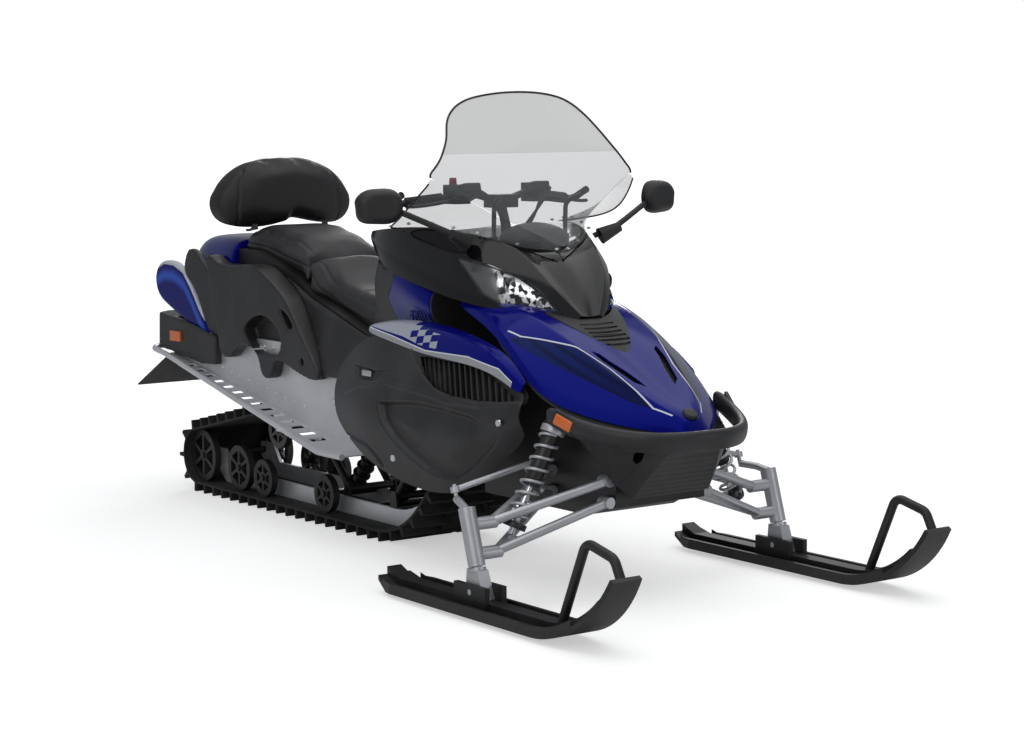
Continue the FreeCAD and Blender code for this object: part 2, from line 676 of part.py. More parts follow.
def front_arms():
    """Upper and lower wishbones, knuckle housings and coil shocks of both skis."""
    half = size("frame_width") / 2
    for sign, side in ((-1, "right"), (1, "left")):
        arms = []
        for title, pivot_z, ball_share in (("upper", size("upper_pivot_z"), 0.78),
                                           ("lower", size("lower_pivot_z"), 0.38)):
            axis = pin_point(ball_share, sign)
            ball = V(axis.x, sign * (size("ball_reach") - 32), axis.z)
            legs = [rod("%s_leg_%s_%d" % (title, side, index), V(x, sign * (half + 14), pivot_z), ball,
                        "arm_tube")
                    for index, x in enumerate((size("arm_front_x"), size("arm_rear_x")))]
            feet = [rod("%s_foot_%s_%d" % (title, side, index), V(x - 26, sign * (half + 16.3), pivot_z),
                        V(x + 16, sign * (half + 16.3), pivot_z), "arm_tube", 3)
                    for index, x in enumerate((size("arm_front_x"), size("arm_rear_x")))]
            apex = rod("%s_apex_%s" % (title, side), ball - V(0, sign * 16, 0),
                       V(axis.x, sign * (size("ball_reach") - 14), axis.z), "arm_tube", 5)
            arms.append(fuse("%s_arm_%s" % (title, side), apex, *(legs + feet)))
        share = (size("shock_foot_y") - half - 14) / (size("ball_reach") - 32 - half - 14)
        ball = pin_point(0.38, sign)
        cross_z = size("lower_pivot_z") + share * (ball.z - size("lower_pivot_z"))
        ends = [V(x + share * (ball.x - x), sign * size("shock_foot_y"), cross_z)
                for x in (size("arm_front_x"), size("arm_rear_x"))]
        arms[1] = fuse("lower_arm_braced_" + side, arms[1],
                       rod("shock_perch_" + side, ends[0], ends[1], "bar_radius"))
        group = doc.addObject("Part::Compound", "wishbone_pair_" + side)
        group.Links = arms
        low = pin_point(0.22, sign)
        high = pin_point(0.94, sign)
        barrel = rod("knuckle_barrel_" + side, low, high, "knuckle_radius")
        bore = rod("knuckle_bore_" + side, low - (high - low) * 0.1, high + (high - low) * 0.1,
                   "pin_radius", size("pin_gap"))
        lugs = []
        for title, share in (("upper", 0.78), ("lower", 0.38)):
            axis = pin_point(share, sign)
            lugs.append(rod("knuckle_lug_%s_%s" % (title, side), axis,
                            V(axis.x, sign * (size("ball_reach") - 14), axis.z), "arm_tube", 5))
        knuckle = cut("knuckle_" + side, fuse("knuckle_body_" + side, barrel, *lugs), bore)
        keep(knuckle, "knuckle_" + side)
        wishbones = keep(group, "wishbones_" + side)
        foot = V(size("shock_foot_x"), sign * size("shock_foot_y"), cross_z)
        top = V(size("shock_foot_x") + 30, sign * size("shock_top_y"), size("shock_top_z"))
        run = top - foot
        body_rod = rod("damper_%s" % side, foot, top, "arm_tube")
        can = rod("damper_can_%s" % side, foot + run * 0.42, foot + run * 0.9, "shock_radius")
        rings = [coil_spring("coil_%s" % side, foot + run * 0.12, foot + run * 0.84)]
        caps = [rod("spring_cap_%s_%d" % (side, index), foot + run * a, foot + run * b, "spring_radius")
                for index, (a, b) in enumerate(((0.08, 0.12), (0.84, 0.9)))]
        shock = fuse("shock_whole_" + side, body_rod, can, *(caps + rings))
        keep(cut("shock_seated_" + side, shock, wishbones), "shock_" + side)


def spindles_and_skis():
    """The parts that steer: king pin with its leg and arm, the ski on it, and its track rod."""
    reach = size("ski_stance") / 2
    wide = size("ski_width")
    plate = size("ski_plate")
    keel = size("keel_depth")
    tip_x = size("front_reach")
    heel = size("ski_heel_x")
    flat = size("ski_flat_front")
    tip_z = size("ski_tip_height")
    rise = tip_z - keel
    run = tip_x - flat
    big = (run * run + rise * rise) / (2 * rise)
    sweep = math.asin(run / big)
    for sign, side in ((-1, "right"), (1, "left")):
        def strip(low, thick, far):
            """Side profile of a layer of the ski, from its heel to its raised tip."""
            centre = V(flat, 0, keel + big)
            mid = sweep * far / 2
            end = sweep * far
            near_r = big - low
            far_r = big - low - thick
            edges = [Part.LineSegment(V(heel + 60, 0, keel + low), V(flat, 0, keel + low)).toShape(),
                     Part.Arc(V(flat, 0, keel + low),
                              centre + V(math.sin(mid), 0, -math.cos(mid)) * near_r,
                              centre + V(math.sin(end), 0, -math.cos(end)) * near_r).toShape(),
                     Part.LineSegment(centre + V(math.sin(end), 0, -math.cos(end)) * near_r,
                                      centre + V(math.sin(end), 0, -math.cos(end)) * far_r).toShape(),
                     Part.Arc(centre + V(math.sin(end), 0, -math.cos(end)) * far_r,
                              centre + V(math.sin(mid), 0, -math.cos(mid)) * far_r,
                              V(flat, 0, keel + low + thick)).toShape(),
                     Part.LineSegment(V(flat, 0, keel + low + thick),
                                      V(heel + 60, 0, keel + low + thick)).toShape(),
                     Part.LineSegment(V(heel + 60, 0, keel + low + thick),
                                      V(heel, 0, keel + low + thick + 24)).toShape(),
                     Part.LineSegment(V(heel, 0, keel + low + thick + 24),
                                      V(heel, 0, keel + low + 24)).toShape(),
                     Part.LineSegment(V(heel, 0, keel + low + 24),
                                      V(heel + 60, 0, keel + low)).toShape()]
            return Part.Face(Part.Wire(edges))

        def layer(face, low_y, high_y):
            """A padded layer between two distances from the ski's own middle."""
            moved = face.copy()
            moved.translate(V(0, sign * reach + low_y, 0))
            return moved.extrude(V(0, high_y - low_y, 0))

        base = layer(strip(0, plate, 1.0), -wide / 2, wide / 2)
        rims = [layer(strip(0, plate + size("rim_height"), 0.97), low, low + 12)
                for low in (-wide / 2, wide / 2 - 12)]
        spine = layer(strip(0, plate + 22, 0.72), -24, 24)
        runner = Part.makeBox(flat - heel - 140, size("keel_width"), keel,
                              V(heel + 120, sign * reach - size("keel_width") / 2, 0))
        plan_points = [V(heel, sign * reach - wide * 0.36, -50), V(heel + 90, sign * reach - wide / 2, -50),
                       V(flat + 60, sign * reach - wide / 2, -50), V(tip_x + 5, sign * reach - wide * 0.3, -50),
                       V(tip_x + 5, sign * reach + wide * 0.3, -50), V(flat + 60, sign * reach + wide / 2, -50),
                       V(heel + 90, sign * reach + wide / 2, -50), V(heel, sign * reach + wide * 0.36, -50)]
        plan = Part.Face(Part.makePolygon(plan_points + plan_points[:1])).extrude(V(0, 0, 400))
        ski = base.fuse(rims + [spine]).common(plan).fuse(runner)
        loop_points = [V(flat + 40, sign * reach, keel + plate + 8),
                       V(size("loop_rear_x"), sign * reach, size("loop_top_z") - size("loop_radius")),
                       V(size("loop_front_x"), sign * reach, size("loop_top_z") - size("loop_radius") - 26),
                       V(tip_x - 22, sign * reach, tip_z - 14)]
        loop = bent_tube(loop_points, size("loop_radius"), 34)
        low = pin_point(0, sign)
        saddle = Part.makeBox(150, 72, 62, V(low.x - 75, sign * reach - 36, keel + plate + 2))
        ski = ski.fuse([loop, saddle])
        fork = Part.makeBox(190, 40.6, 80, V(low.x - 95, sign * reach - 20.3, keel + plate + 22.3))
        ski = ski.cut(fork)
        bolt = Part.makeCylinder(8, 72, V(low.x, sign * reach - 36, keel + plate + 44), V(0, 1, 0))
        ski_obj = fixed("ski_" + side, ski.cut(bolt))
        keep(ski_obj, "ski_" + side)
        top = pin_point(1.0, sign)
        neck = pin_point(0.2, sign)
        axis = (top - low).normalize()
        shaft = Part.makeCylinder(size("pin_radius"), (top - neck).Length + 8, neck - axis * 8, axis)
        cap = Part.makeCylinder(size("knuckle_radius"), 14, pin_point(0.94, sign) + axis * 0.3, axis)
        leg_low = Part.makePolygon([V(low.x - 42, sign * reach - 20, keel + plate + 24),
                                    V(low.x + 42, sign * reach - 20, keel + plate + 24),
                                    V(low.x + 42, sign * reach + 20, keel + plate + 24),
                                    V(low.x - 42, sign * reach + 20, keel + plate + 24),
                                    V(low.x - 42, sign * reach - 20, keel + plate + 24)])
        mid = neck - axis * 4
        leg_high = Part.makePolygon([V(mid.x - 26, sign * reach - 18, mid.z), V(mid.x + 26, sign * reach - 18, mid.z),
                                     V(mid.x + 26, sign * reach + 18, mid.z), V(mid.x - 26, sign * reach + 18, mid.z),
                                     V(mid.x - 26, sign * reach - 18, mid.z)])
        leg = Part.makeLoft([leg_low, leg_high], True, True)
        collar = Part.makeCylinder(size("knuckle_radius"), 10, neck - axis * 10.3, axis)
        ball_arm = V(top.x - 92, sign * (reach - 30), top.z + 10)
        arm = bent_tube([top - axis * 4, V(top.x - 40, sign * (reach - 10), top.z + 6), ball_arm], 11, 20)
        stud = Part.makeCylinder(6, 42, ball_arm, axis)
        whole = shaft.fuse([cap, leg, collar, arm, bolt, stud])
        keep(fixed("spindle_" + side, whole), "spindle_" + side)
        centre = ball_arm + axis * 27
        inner = V(centre.x + 20, sign * size("tie_inner_y"), centre.z + 62)
        eye = Part.makeCylinder(13, 16, centre - axis * 8, axis)
        tie = Part.makeCylinder(9, (inner - centre).Length, centre, inner - centre)
        bore = Part.makeCylinder(6 + size("pin_gap"), 60, centre - axis * 30, axis)
        rod_end = Part.makeSphere(14, inner)
        keep(fixed("tie_rod_" + side, eye.fuse([tie, rod_end]).cut(bore)), "tie_rod_" + side)


def steering():
    """Column, hooked handlebar, grips and switch pods."""
    top = COLUMN_TOP
    foot = COLUMN_FOOT
    column = bent_tube([foot, top], size("column_radius"), 10)
    half = size("bar_half")
    sides = []
    grips = []
    pods = []
    for sign in (-1, 1):
        route = [top, V(292, sign * 90, 1118), V(214, sign * (half - 20), 1092),
                 V(218, sign * half, 1096), V(278, sign * half, 1122)]
        sides.append(bent_tube(route, size("bar_radius"), 40))
        start = V(292, sign * 90, 1118) + (route[2] - route[1]) * 0.42
        end = V(292, sign * 90, 1118) + (route[2] - route[1]) * 0.88
        direction = (end - start).normalize()
        outer = Part.makeCylinder(size("grip_radius"), (end - start).Length, start, direction)
        bore = Part.makeCylinder(size("bar_radius"), (end - start).Length + 2, start - direction, direction)
        grips.append(outer.cut(bore))
        pod = Part.makeBox(66, 58, 58, V(start.x - 18, min(sign * 116, sign * 174), 1090))
        pods.append(pod)
    clamp = Part.makeBox(64, 84, 40, V(top.x - 32, -42, top.z - 16))
    bar = column.fuse(sides + [clamp])
    bar_obj = fixed("handlebar_raw", bar)
    grip_obj = fixed("grips_raw", Part.makeCompound(grips))
    keep(bar_obj, "handlebar")
    keep(grip_obj, "hand_grips")
    keep(cut("switch_pods", fixed("pods_raw", Part.makeCompound(pods)), bar_obj), "switch_pods")


HOOD_LINES = ((430, ((246, 800), (234, 812), (208, 824), (160, 835), (90, 845), (0, 848))),
              (520, ((258, 774), (246, 790), (222, 805), (180, 822), (96, 832), (0, 834))),
              (640, ((272, 736), (260, 753), (236, 770), (176, 800), (92, 812), (0, 812))),
              (760, ((286, 664), (274, 684), (246, 706), (164, 755), (86, 761), (0, 758))),
              (880, ((294, 580), (278, 602), (218, 650), (150, 700), (77, 703), (0, 698))),
              (1000, ((250, 535), (224, 560), (172, 596), (122, 634), (62, 638), (0, 633))),
              (1130, ((158, 500), (140, 518), (108, 542), (76, 562), (38, 566), (0, 563))),
              (1205, ((62, 486), (56, 498), (44, 512), (30, 525), (15, 530), (0, 531))))

COWL_LINES = ((-40, ((246, 968), (254, 984), (248, 1000), (228, 1000), (120, 992), (0, 990))),
              (90, ((296, 892), (302, 950), (286, 1014), (246, 994), (120, 986), (0, 986))),
              (300, ((292, 852), (294, 940), (256, 1026), (208, 998), (104, 986), (0, 986))),
              (450, ((268, 818), (266, 912), (208, 1006), (166, 990), (84, 984), (0, 984))),
              (570, ((222, 798), (220, 900), (134, 974), (104, 966), (50, 964), (0, 964))),
              (650, ((160, 780), (160, 858), (122, 906), (78, 902), (34, 906), (0, 914))),
              (700, ((112, 770), (112, 812), (88, 846), (56, 836), (26, 838), (0, 842))),
              (745, ((46, 762), (44, 768), (34, 774), (22, 772), (10, 770), (0, 768))))

LENS_OUTLINE = ((252, 940), (206, 918), (160, 884), (112, 826), (84, 786), (150, 788), (206, 804), (244, 856))

SCOOP_OUTLINE = ((905, 104), (950, 92), (1000, 70), (1064, 48), (1046, 78), (1000, 94), (945, 110))

VENT_OUTLINE = ((700, -130), (764, -108), (840, -70), (896, -30), (918, 0), (896, 30), (840, 70), (764, 108),
                (700, 130))


def plan_prism(name, outline, sign, low, high, smooth=False):
    """A plan outline of (x, y) swept upright from one height to another."""
    return fixed(name, swept([V(x, sign * y, low) for x, y in outline], V(0, 0, high - low), smooth))


def front_prism(name, outline, sign, low, high, smooth=False):
    """A front outline of (y, z) swept along the machine from one station to another."""
    return fixed(name, swept([V(low, sign * y, z) for y, z in outline], V(high - low, 0, 0), smooth))


def bodywork():
    """Upper cowl with its lamps, and the hood with its scoops and centre vent."""
    wall = size("panel_wall")
    cowl_skin = skin("cowl_skin", COWL_LINES, wall + 1)
    cowl_room = filled("cowl_room", COWL_LINES)
    seam_room = filled("cowl_seam_room", grown(COWL_LINES, size("panel_seam")))
    openings = [front_prism("lens_split_" + side, LENS_OUTLINE, sign, 380, 800)
                for sign, side in ((-1, "right"), (1, "left"))]
    lenses = []
    for tool in openings:
        lens = doc.addObject("Part::Common", "lens")
        lens.Base = cowl_skin
        lens.Tool = tool
        lenses.append(lens)
    group = doc.addObject("Part::Compound", "lamp_pair")
    group.Links = lenses
    keep(group, "headlights")
    passage = rod("column_passage", COLUMN_FOOT, COLUMN_TOP, "column_radius", 8)
    keep(cut("cowl_open", cowl_skin, passage, *openings), "upper_cowl")
    scoops = [plan_prism("scoop_" + side, SCOOP_OUTLINE, sign, 400, 900, True)
              for sign, side in ((-1, "right"), (1, "left"))]
    vent_hole = plan_prism("vent_hole", VENT_OUTLINE, 1, 500, 900)
    hood_skin = skin("hood_skin", HOOD_LINES, wall)
    insert = doc.addObject("Part::Common", "vent_insert")
    insert.Base = hood_skin
    insert.Tool = vent_hole
    slats = [plan_prism("vent_slot_%d" % index, ((x, -60), (x + 9, -60), (x + 9, 60), (x, 60)), 1, 500, 900)
             for index, x in enumerate(range(770, 890, 20))]
    keep(cut("vent_open", insert, seam_room, cowl_skin, *slats), "hood_vent")
    keep(cut("hood_open", hood_skin, seam_room, cowl_skin, vent_hole, *scoops), "hood")
    return cowl_room


def shield_station(z):
    """Centre and wrap of the windshield at a height, between its measured stations."""
    rows = ((950, 632, 1.6e-3), (1016, 588, 1.5e-3), (1050, 562, 1.35e-3), (1110, 549, 7.8e-4),
            (1170, 522, 3.7e-4), (1230, 497, 2.6e-4), (1290, 468, 3.3e-4), (1350, 437, 6.4e-4),
            (1400, 412, 9e-4), (1450, 388, 1e-3))
    for low, high in zip(rows, rows[1:]):
        if z <= high[0]:
            share = (z - low[0]) / (high[0] - low[0])
            return [a + (b - a) * share for a, b in zip(low[1:], high[1:])]
    return rows[-1][1:]


def folded(top, foot, lean):
    """A thin sheet between two lines of points, as flat triangles on both its faces."""
    faces = []
    for index in range(len(top) - 1):
        for corners in ((top[index], foot[index], foot[index + 1]), (top[index], foot[index + 1], top[index + 1])):
            for move in (V(0, 0, 0), lean):
                ring = [p + move for p in corners]
                faces.append(Part.Face(Part.makePolygon(ring + ring[:1])))
    edge = top + foot[::-1]
    for start, end in zip(edge, edge[1:] + edge[:1]):
        faces.append(Part.Face(Part.makePolygon([start, end, end + lean, start + lean, start])))
    return Part.Solid(Part.Shell(faces))


def shield():
    """Tall clear windshield: a swept sheet, folded back along two creases to its side wings."""
    wall = size("shield_wall")
    wires = []
    for z in (950, 1016, 1050, 1110, 1170, 1230, 1290, 1350, 1400, 1450):
        centre, wrap = shield_station(z)
        outer = [V(centre - wrap * y * y, y, z) for y in (-420, -300, -150, 0, 150, 300, 420)]
        wires.append(ribbon(outer, [p - V(wall, 0, 0) for p in outer]))
    sheet_shape = Part.makeLoft(wires, True, False)
    rim = [(368, 1176), (377, 1155), (372, 1170), (353, 1200), (331, 1230), (308, 1260), (289, 1290),
           (275, 1320), (257, 1350), (222, 1380), (180, 1402), (110, 1422), (0, size("shield_top"))]
    side = [V(0, y, z) for y, z in rim[:1] + rim[2:]]
    crease = [V(0, 0, 962), V(0, 100, 1014), V(0, 368, 1176)]
    edge = [Part.LineSegment(crease[0], crease[1]).toShape(), Part.LineSegment(crease[1], crease[2]).toShape(),
            curve(side), curve([V(0, -p.y, p.z) for p in side[::-1]]),
            Part.LineSegment(V(0, -368, 1176), V(0, -100, 1014)).toShape(),
            Part.LineSegment(V(0, -100, 1014), crease[0]).toShape()]
    outline = Part.Face(Part.Wire(edge)).extrude(V(900, 0, 0))
    pieces = [sheet_shape.common(outline)]
    folds = ((352, 1166.3), (310, 1140.9), (270, 1116.8), (230, 1092.6), (200, 1074.4), (165, 1053.3),
             (130, 1032.1), (100, 1014), (50, 988), (8, 966.2))
    feet = ((379, 466, 1152), (396, 422, 1110), (404, 346, 1050), (362, 240, 1040.4), (300, 146, 1025.4),
            (258, 307, 1035.4), (206, 468, 1010.4), (136, 538, 990.4), (100, 552, 972.4), (9, 622, 964.4))
    for sign in (-1, 1):
        top = []
        foot = []
        for (fold_y, fold_z), (foot_y, foot_x, foot_z) in zip(folds, feet):
            centre, wrap = shield_station(fold_z)
            top.append(V(centre - wrap * fold_y * fold_y - wall, sign * fold_y, fold_z))
            foot.append(V(foot_x - wall, sign * foot_y, foot_z))
        pieces.append(folded(top, foot, V(wall, sign * wall * 0.3, wall * 0.3)))
    keep(fixed("shield_folded", pieces[0].fuse(pieces[1:])), "windshield")


def console():
    """Tank cover between the seat and the dash, with its painted knee panels."""
    low = size("tunnel_top") + size("run_gap")
    lines = ((-62, ((206, low), (224, 760), (230, 850), (206, 908), (110, 926), (0, 930))),
             (0, ((215, low), (238, 760), (250, 880), (236, 944), (120, 956), (0, 956))),
             (100, ((225, low), (252, 760), (272, 870), (258, 936), (120, 952), (0, 952))),
             (330, ((230, low), (262, 740), (279, 800), (262, 836), (140, 852), (0, 856))))
    seam_room = filled("console_seam_room", grown(COWL_LINES, size("panel_seam"), 6))
    lower = cut("console_under_cowl", filled("console_body", lines), seam_room)
    doc.recompute()
    body = fixed("console_whole", max(lower.Shape.Solids, key=lambda solid: solid.Volume))
    knee = prism("knee_split", ((52, 800), (120, 872), (205, 905), (325, 850), (325, 716), (200, 700), (90, 730)),
                 -400, 400)
    core = filled("console_core", [(x, [(y - 5 if y else 0, z - (5 if z > low else 0)) for y, z in line])
                                   for x, line in lines])
    band = cut("knee_band", body, core)
    for sign, side in ((-1, "right"), (1, "left")):
        half_space = prism("knee_half_" + side, ((-100, 500), (400, 500), (400, 1100), (-100, 1100)),
                           sign * 120, sign * 400)
        patch = doc.addObject("Part::MultiCommon", "knee_patch_" + side)
        patch.Shapes = [band, knee, half_space]
        keep(patch, "knee_panel_" + side)
        body = cut("console_less_" + side, body, patch)
    keep(body, "console")


def mirrors(cowl_room):
    """Two mirrors on cranked stalks from the cowl's shoulders."""
    for sign, side in ((-1, "right"), (1, "left")):
        stalk = bent_tube([V(452, sign * 235, 985), V(480, sign * 300, 1012), V(468, sign * 350, 1034),
                           V(440, sign * 448, 1078)], 9, 30)
        foot = Part.makeCone(26, 15, 70, V(470, sign * 250, 985), V(20, sign * 66, 30).normalize())
        ring = [V(0, y, z) for y, z in ((-66, -14), (-54, -42), (-9, -50), (42, -46), (66, -22), (69, 12),
                                        (50, 42), (3, 50), (-47, 40), (-68, 16))]
        spline = Part.BSplineCurve()
        spline.interpolate(Points=ring, PeriodicFlag=True)
        wires = []
        for reach, share in ((-16, 1.0), (0, 1.02), (18, 0.9), (30, 0.55)):
            wire = Part.Wire(spline.toShape())
            wire.scale(share)
            wire.translate(V(reach, 0, 0))
            wires.append(wire)
        head = Part.makeLoft(wires, True, False)
        head.rotate(V(0, 0, 0), V(0, 0, 1), -16)
        if sign > 0:
            head = head.mirror(V(0, 0, 0), V(0, 1, 0))
        head.translate(V(424, sign * 516, 1098))
        whole = fixed("mirror_whole_" + side, head.fuse([stalk, foot]))
        keep(cut("mirror_seated_" + side, whole, cowl_room), "mirror_" + side)


def screen_stays(cowl_room):
    """Two stays that brace the windshield from the dash, each with a round pad."""
    stays = []
    for sign in (-1, 1):
        route = [V(448, sign * 132, 970), V(452, sign * 132, 1094), V(506, sign * 150, 1116)]
        stay = bent_tube(route, 7, 30)
        stay = stay.fuse(Part.makeCylinder(14, 26, V(446, sign * 132, 972), V(0, 0, 1)))
        stays.append(stay)
    keep(cut("stays_seated", fixed("stays_raw", Part.makeCompound(stays)), cowl_room), "screen_stays")


def nose_cowl():
    """Dark lower nose below the hood, a faceted scoop closed at the bottom, and its bumper."""
    wall = size("panel_wall")
    stations = ((985, 262, 512, 215, 335, 150, 258), (1085, 215, 480, 178, 330, 145, 262),
                (1160, 165, 470, 148, 405, 120, 362), (1235, 105, 474, 98, 466, 84, 456))
    wires = []
    for x, top_y, top_z, mid_y, mid_z, low_y, low_z in stations:
        half = [V(x, low_y, low_z), V(x, mid_y, mid_z), V(x, top_y, top_z)]
        line = [V(p.x, -p.y, p.z) for p in half[::-1]] + half
        inner = [V(x, sign * (p[1] - wall), p[2] + lift)
                 for sign, p, lift in ((-1, half[2], 0), (-1, half[1], 0), (-1, half[0], wall),
                                       (1, half[0], wall), (1, half[1], 0), (1, half[2], 0))]
        wires.append(Part.makePolygon(line + inner[::-1] + line[:1]))
    lid = swept([V(1150, -166, 458), V(1234, -103, 458), V(1234, 103, 458), V(1150, 166, 458)],
                V(0, 0, wall), False)
    cowl = fixed("nose_cowl_raw", Part.makeLoft(wires, True, True).fuse(lid))
    wedge = prism("nose_cowl_rear", ((900, 560), (975, 560), (985, 490), (1114, 290), (1114, 200), (900, 200)),
                  -400, 400)
    radius = size("bumper_radius")
    bow = bent_tube([V(932, -308, 546), V(1110, -254, 490), V(1240, -150, 476), V(1300, 0, 478),
                     V(1240, 150, 476), V(1110, 254, 490), V(932, 308, 546)], radius, 160)
    stays = []
    front = size("frame_front") + size("run_gap")
    for sign in (-1, 1):
        start = V(front + 8, sign * 112, 340)
        end = V(1210, sign * 178, 478)
        stays.append(Part.makeCylinder(11, (end - start).Length, start, end - start))
        stays.append(Part.makeBox(12, 44, 44, V(front, sign * 112 - 22, 318)))
    bumper = keep(fixed("bumper_raw", bow.fuse(stays)), "front_bumper")
    keep(cut("nose_cowl_cut", cowl, wedge, bumper), "nose_cowl")


PANEL_LINES = ((-150, ((300, 590), (318, 548), (332, 500), (330, 450), (322, 400))),
               (60, ((330, 655), (362, 582), (388, 500), (384, 415), (372, 330))),
               (330, ((336, 640), (376, 560), (402, 470), (392, 360), (374, 250))),
               (600, ((330, 600), (368, 530), (394, 450), (376, 356), (352, 262))),
               (760, ((318, 580), (348, 538), (372, 490), (350, 438), (320, 385))),
               (850, ((308, 566), (326, 545), (340, 520), (326, 488), (304, 455))))

GRILLE_WINDOW = ((352, 626), (400, 596), (470, 566), (560, 550), (670, 548), (770, 556), (826, 566), (842, 580),
                 (760, 590), (640, 604), (500, 622))


def side_panels(hood_room):
    """Large matte side panels with a louvred window, and the painted panels above them."""
    wall = size("panel_wall")
    half = size("frame_width") / 2 + size("run_gap")
    for sign, side in ((-1, "right"), (1, "left")):
        outer = side_wall("panel_wall_" + side, PANEL_LINES, sign, 0, wall)
        behind = side_wall("grille_wall_" + side, PANEL_LINES, sign, wall, wall)
        room = side_wall("panel_room_" + side, PANEL_LINES, sign, 0, 400)
        window = prism("grille_window_" + side, GRILLE_WINDOW, sign * 250, sign * 450)
        bosses = [rod("panel_boss_%s_%d" % (side, index), V(x, sign * half, z), V(x, sign * 420, z), "arm_tube")
                  for index, (x, z) in enumerate(((520, 470), (800, 500)))]
        trimmed = doc.addObject("Part::MultiCommon", "panel_bosses_" + side)
        trimmed.Shapes = [fuse("panel_boss_pair_" + side, *bosses), room]
        keep(fuse("side_panel_whole_" + side, cut("panel_open_" + side, outer, window), trimmed),
             "side_panel_" + side)
        spread = [(x + (10 if x < 600 else 6) * (-1 if x < 600 else 1), z + (8 if z > 590 else -8))
                  for x, z in GRILLE_WINDOW]
        frame = prism("grille_frame_" + side, spread, sign * 250, sign * 450)
        mesh = doc.addObject("Part::Common", "grille_plate_" + side)
        mesh.Base = behind
        mesh.Tool = frame
        slots = []
        for index in range(11):
            x = 400 + index * 40
            slots.append(prism("grille_slot_%s_%d" % (side, index),
                               ((x, 612), (x + 18, 612), (x + 50, 560), (x + 32, 560)), sign * 250, sign * 450))
        keep(cut("grille_open_" + side, mesh, *slots), "grille_" + side)
        upper = ((60, ((302, 722), (318, 716), (328, 700), (332, 664))),
                 (180, ((288, 744), (314, 738), (330, 718), (339, 652))),
                 (380, ((284, 744), (310, 737), (330, 716), (342, 640))),
                 (600, ((286, 716), (308, 708), (324, 692), (338, 606))),
                 (740, ((288, 668), (306, 660), (320, 646), (330, 584))),
                 (840, ((298, 606), (306, 602), (316, 592), (322, 562))))
        raw = side_wall("upper_wall_" + side, upper, sign, 0, wall)
        keep(cut("upper_panel_seated_" + side, raw, hood_room, room), "upper_panel_" + side)


SEAT_LINE = ((-1060, 900), (-937, 899), (-657, 818), (-568, 769), (-237, 670), (-62, 640))


def seat_edge(x):
    """Height of the seat base's upper edge at a station."""
    for (x0, z0), (x1, z1) in zip(SEAT_LINE, SEAT_LINE[1:]):
        if x <= x1:
            return z0 + (z1 - z0) * (x - x0) / (x1 - x0)
    return SEAT_LINE[-1][1]


def seats():
    """Seat base, its flared skirts, the two cushions, and the backrest on its struts."""
    half = size("seat_width") / 2
    gap = size("run_gap")
    top = size("tunnel_top") + gap
    front = SEAT_LINE[-1][0] - gap
    base = list(SEAT_LINE[:-1]) + [(front, SEAT_LINE[-1][1]), (front, top), (-1060, top)]
    keep(plate_body("seat_base_block", base, "seat_width"), "seat_base")
    tops = (("rider_seat", -612, front, ((front, 735), (-200, 750), (-300, 764), (-420, 794), (-500, 840),
                                         (-560, 888), (-612, 900))),
            ("passenger_seat", -1056, -612 - gap, ((-612 - gap, 904), (-700, 942), (-820, 968), (-950, 973),
                                                   (-1030, 962), (-1056, 940))))
    for name, rear_x, front_x, highs in tops:
        lows = [(rear_x, seat_edge(rear_x) + gap)]
        lows += [(x, z + gap) for x, z in SEAT_LINE if rear_x < x < front_x]
        lows.append((front_x, seat_edge(front_x) + gap))
        keep(plate_body(name + "_block", lows + list(highs), "seat_width"), name)
    pod = ((-1125, 874), (-1050, 850), (-782, 844), (-736, 824), (-600, 748), (-510, 650), (-427, 562),
           (-398, 518), (-560, 522), (-690, 524), (-706, 488), (-766, 486), (-790, 534), (-957, 556), (-985, 534),
           (-1050, 534), (-1076, 592), (-1112, 700))
    skirt = ((-745, 820), (-657, 817), (-568, 768), (-237, 669), (-70, 640), (-70, 606), (-132, 650), (-306, 512),
             (-420, 511))
    wall_half = tunnel_half + gap
    tunnel_room = prism("tunnel_room", ((-1700, 300), (500, 300), (500, top), (-1700, top)), -wall_half, wall_half)
    tail_half = size("tail_width") / 2 + gap
    tail_room = prism("tail_room", ((-1700, 590), (-1060, 590), (-1060, 950), (-1700, 950)), -tail_half, tail_half)
    for sign, side in ((-1, "right"), (1, "left")):
        slab = prism("pod_slab_" + side, pod, sign * (half + gap), sign * size("pod_reach"), True)
        hole = prism("pod_hole_" + side, ((-885, 640), (-830, 676), (-757, 688), (-680, 664), (-638, 616),
                                          (-650, 572), (-720, 558), (-800, 562), (-860, 590)),
                     sign * (half + 30), sign * 400, True)
        small = Part.makeCylinder(13, 300, V(-500, sign * (half + 30), 552), V(0, sign, 0))
        slot = prism("pod_slot_" + side, ((-640, 716), (-600, 706), (-560, 660), (-580, 656), (-624, 694)),
                     sign * (half + 46), sign * 400, True)
        pod_part = cut("pod_cut_" + side, slab, tunnel_room, tail_room, hole, slot,
                       fixed("pod_bolt_" + side, small))
        keep(pod_part, "passenger_pod_" + side)
        lines = []
        for x in (-760, -568, -237, -62):
            z = seat_edge(x)
            lines.append((x, ((half + 0.3, z - 2), (half + 16, z - 22), (half + 42, 606), (size("skirt_reach"), 540),
                              (size("skirt_reach"), 500))))
        wires = []
        for x, line in lines:
            ring = [V(x, sign * y, z) for y, z in line]
            ring += [V(x, sign * wall_half, 500), V(x, sign * wall_half, top), V(x, sign * (half + gap), top)]
            wires.append(Part.makePolygon(ring + ring[:1]))
        flare = fixed("skirt_flare_" + side, Part.makeLoft(wires, True, True))
        trimmed = doc.addObject("Part::Common", "skirt_trim_" + side)
        trimmed.Base = flare
        trimmed.Tool = prism("skirt_outline_" + side, skirt, sign * 100, sign * 400)
        keep(cut("skirt_seated_" + side, trimmed, slab), "seat_skirt_" + side)
    backrest(half, gap)


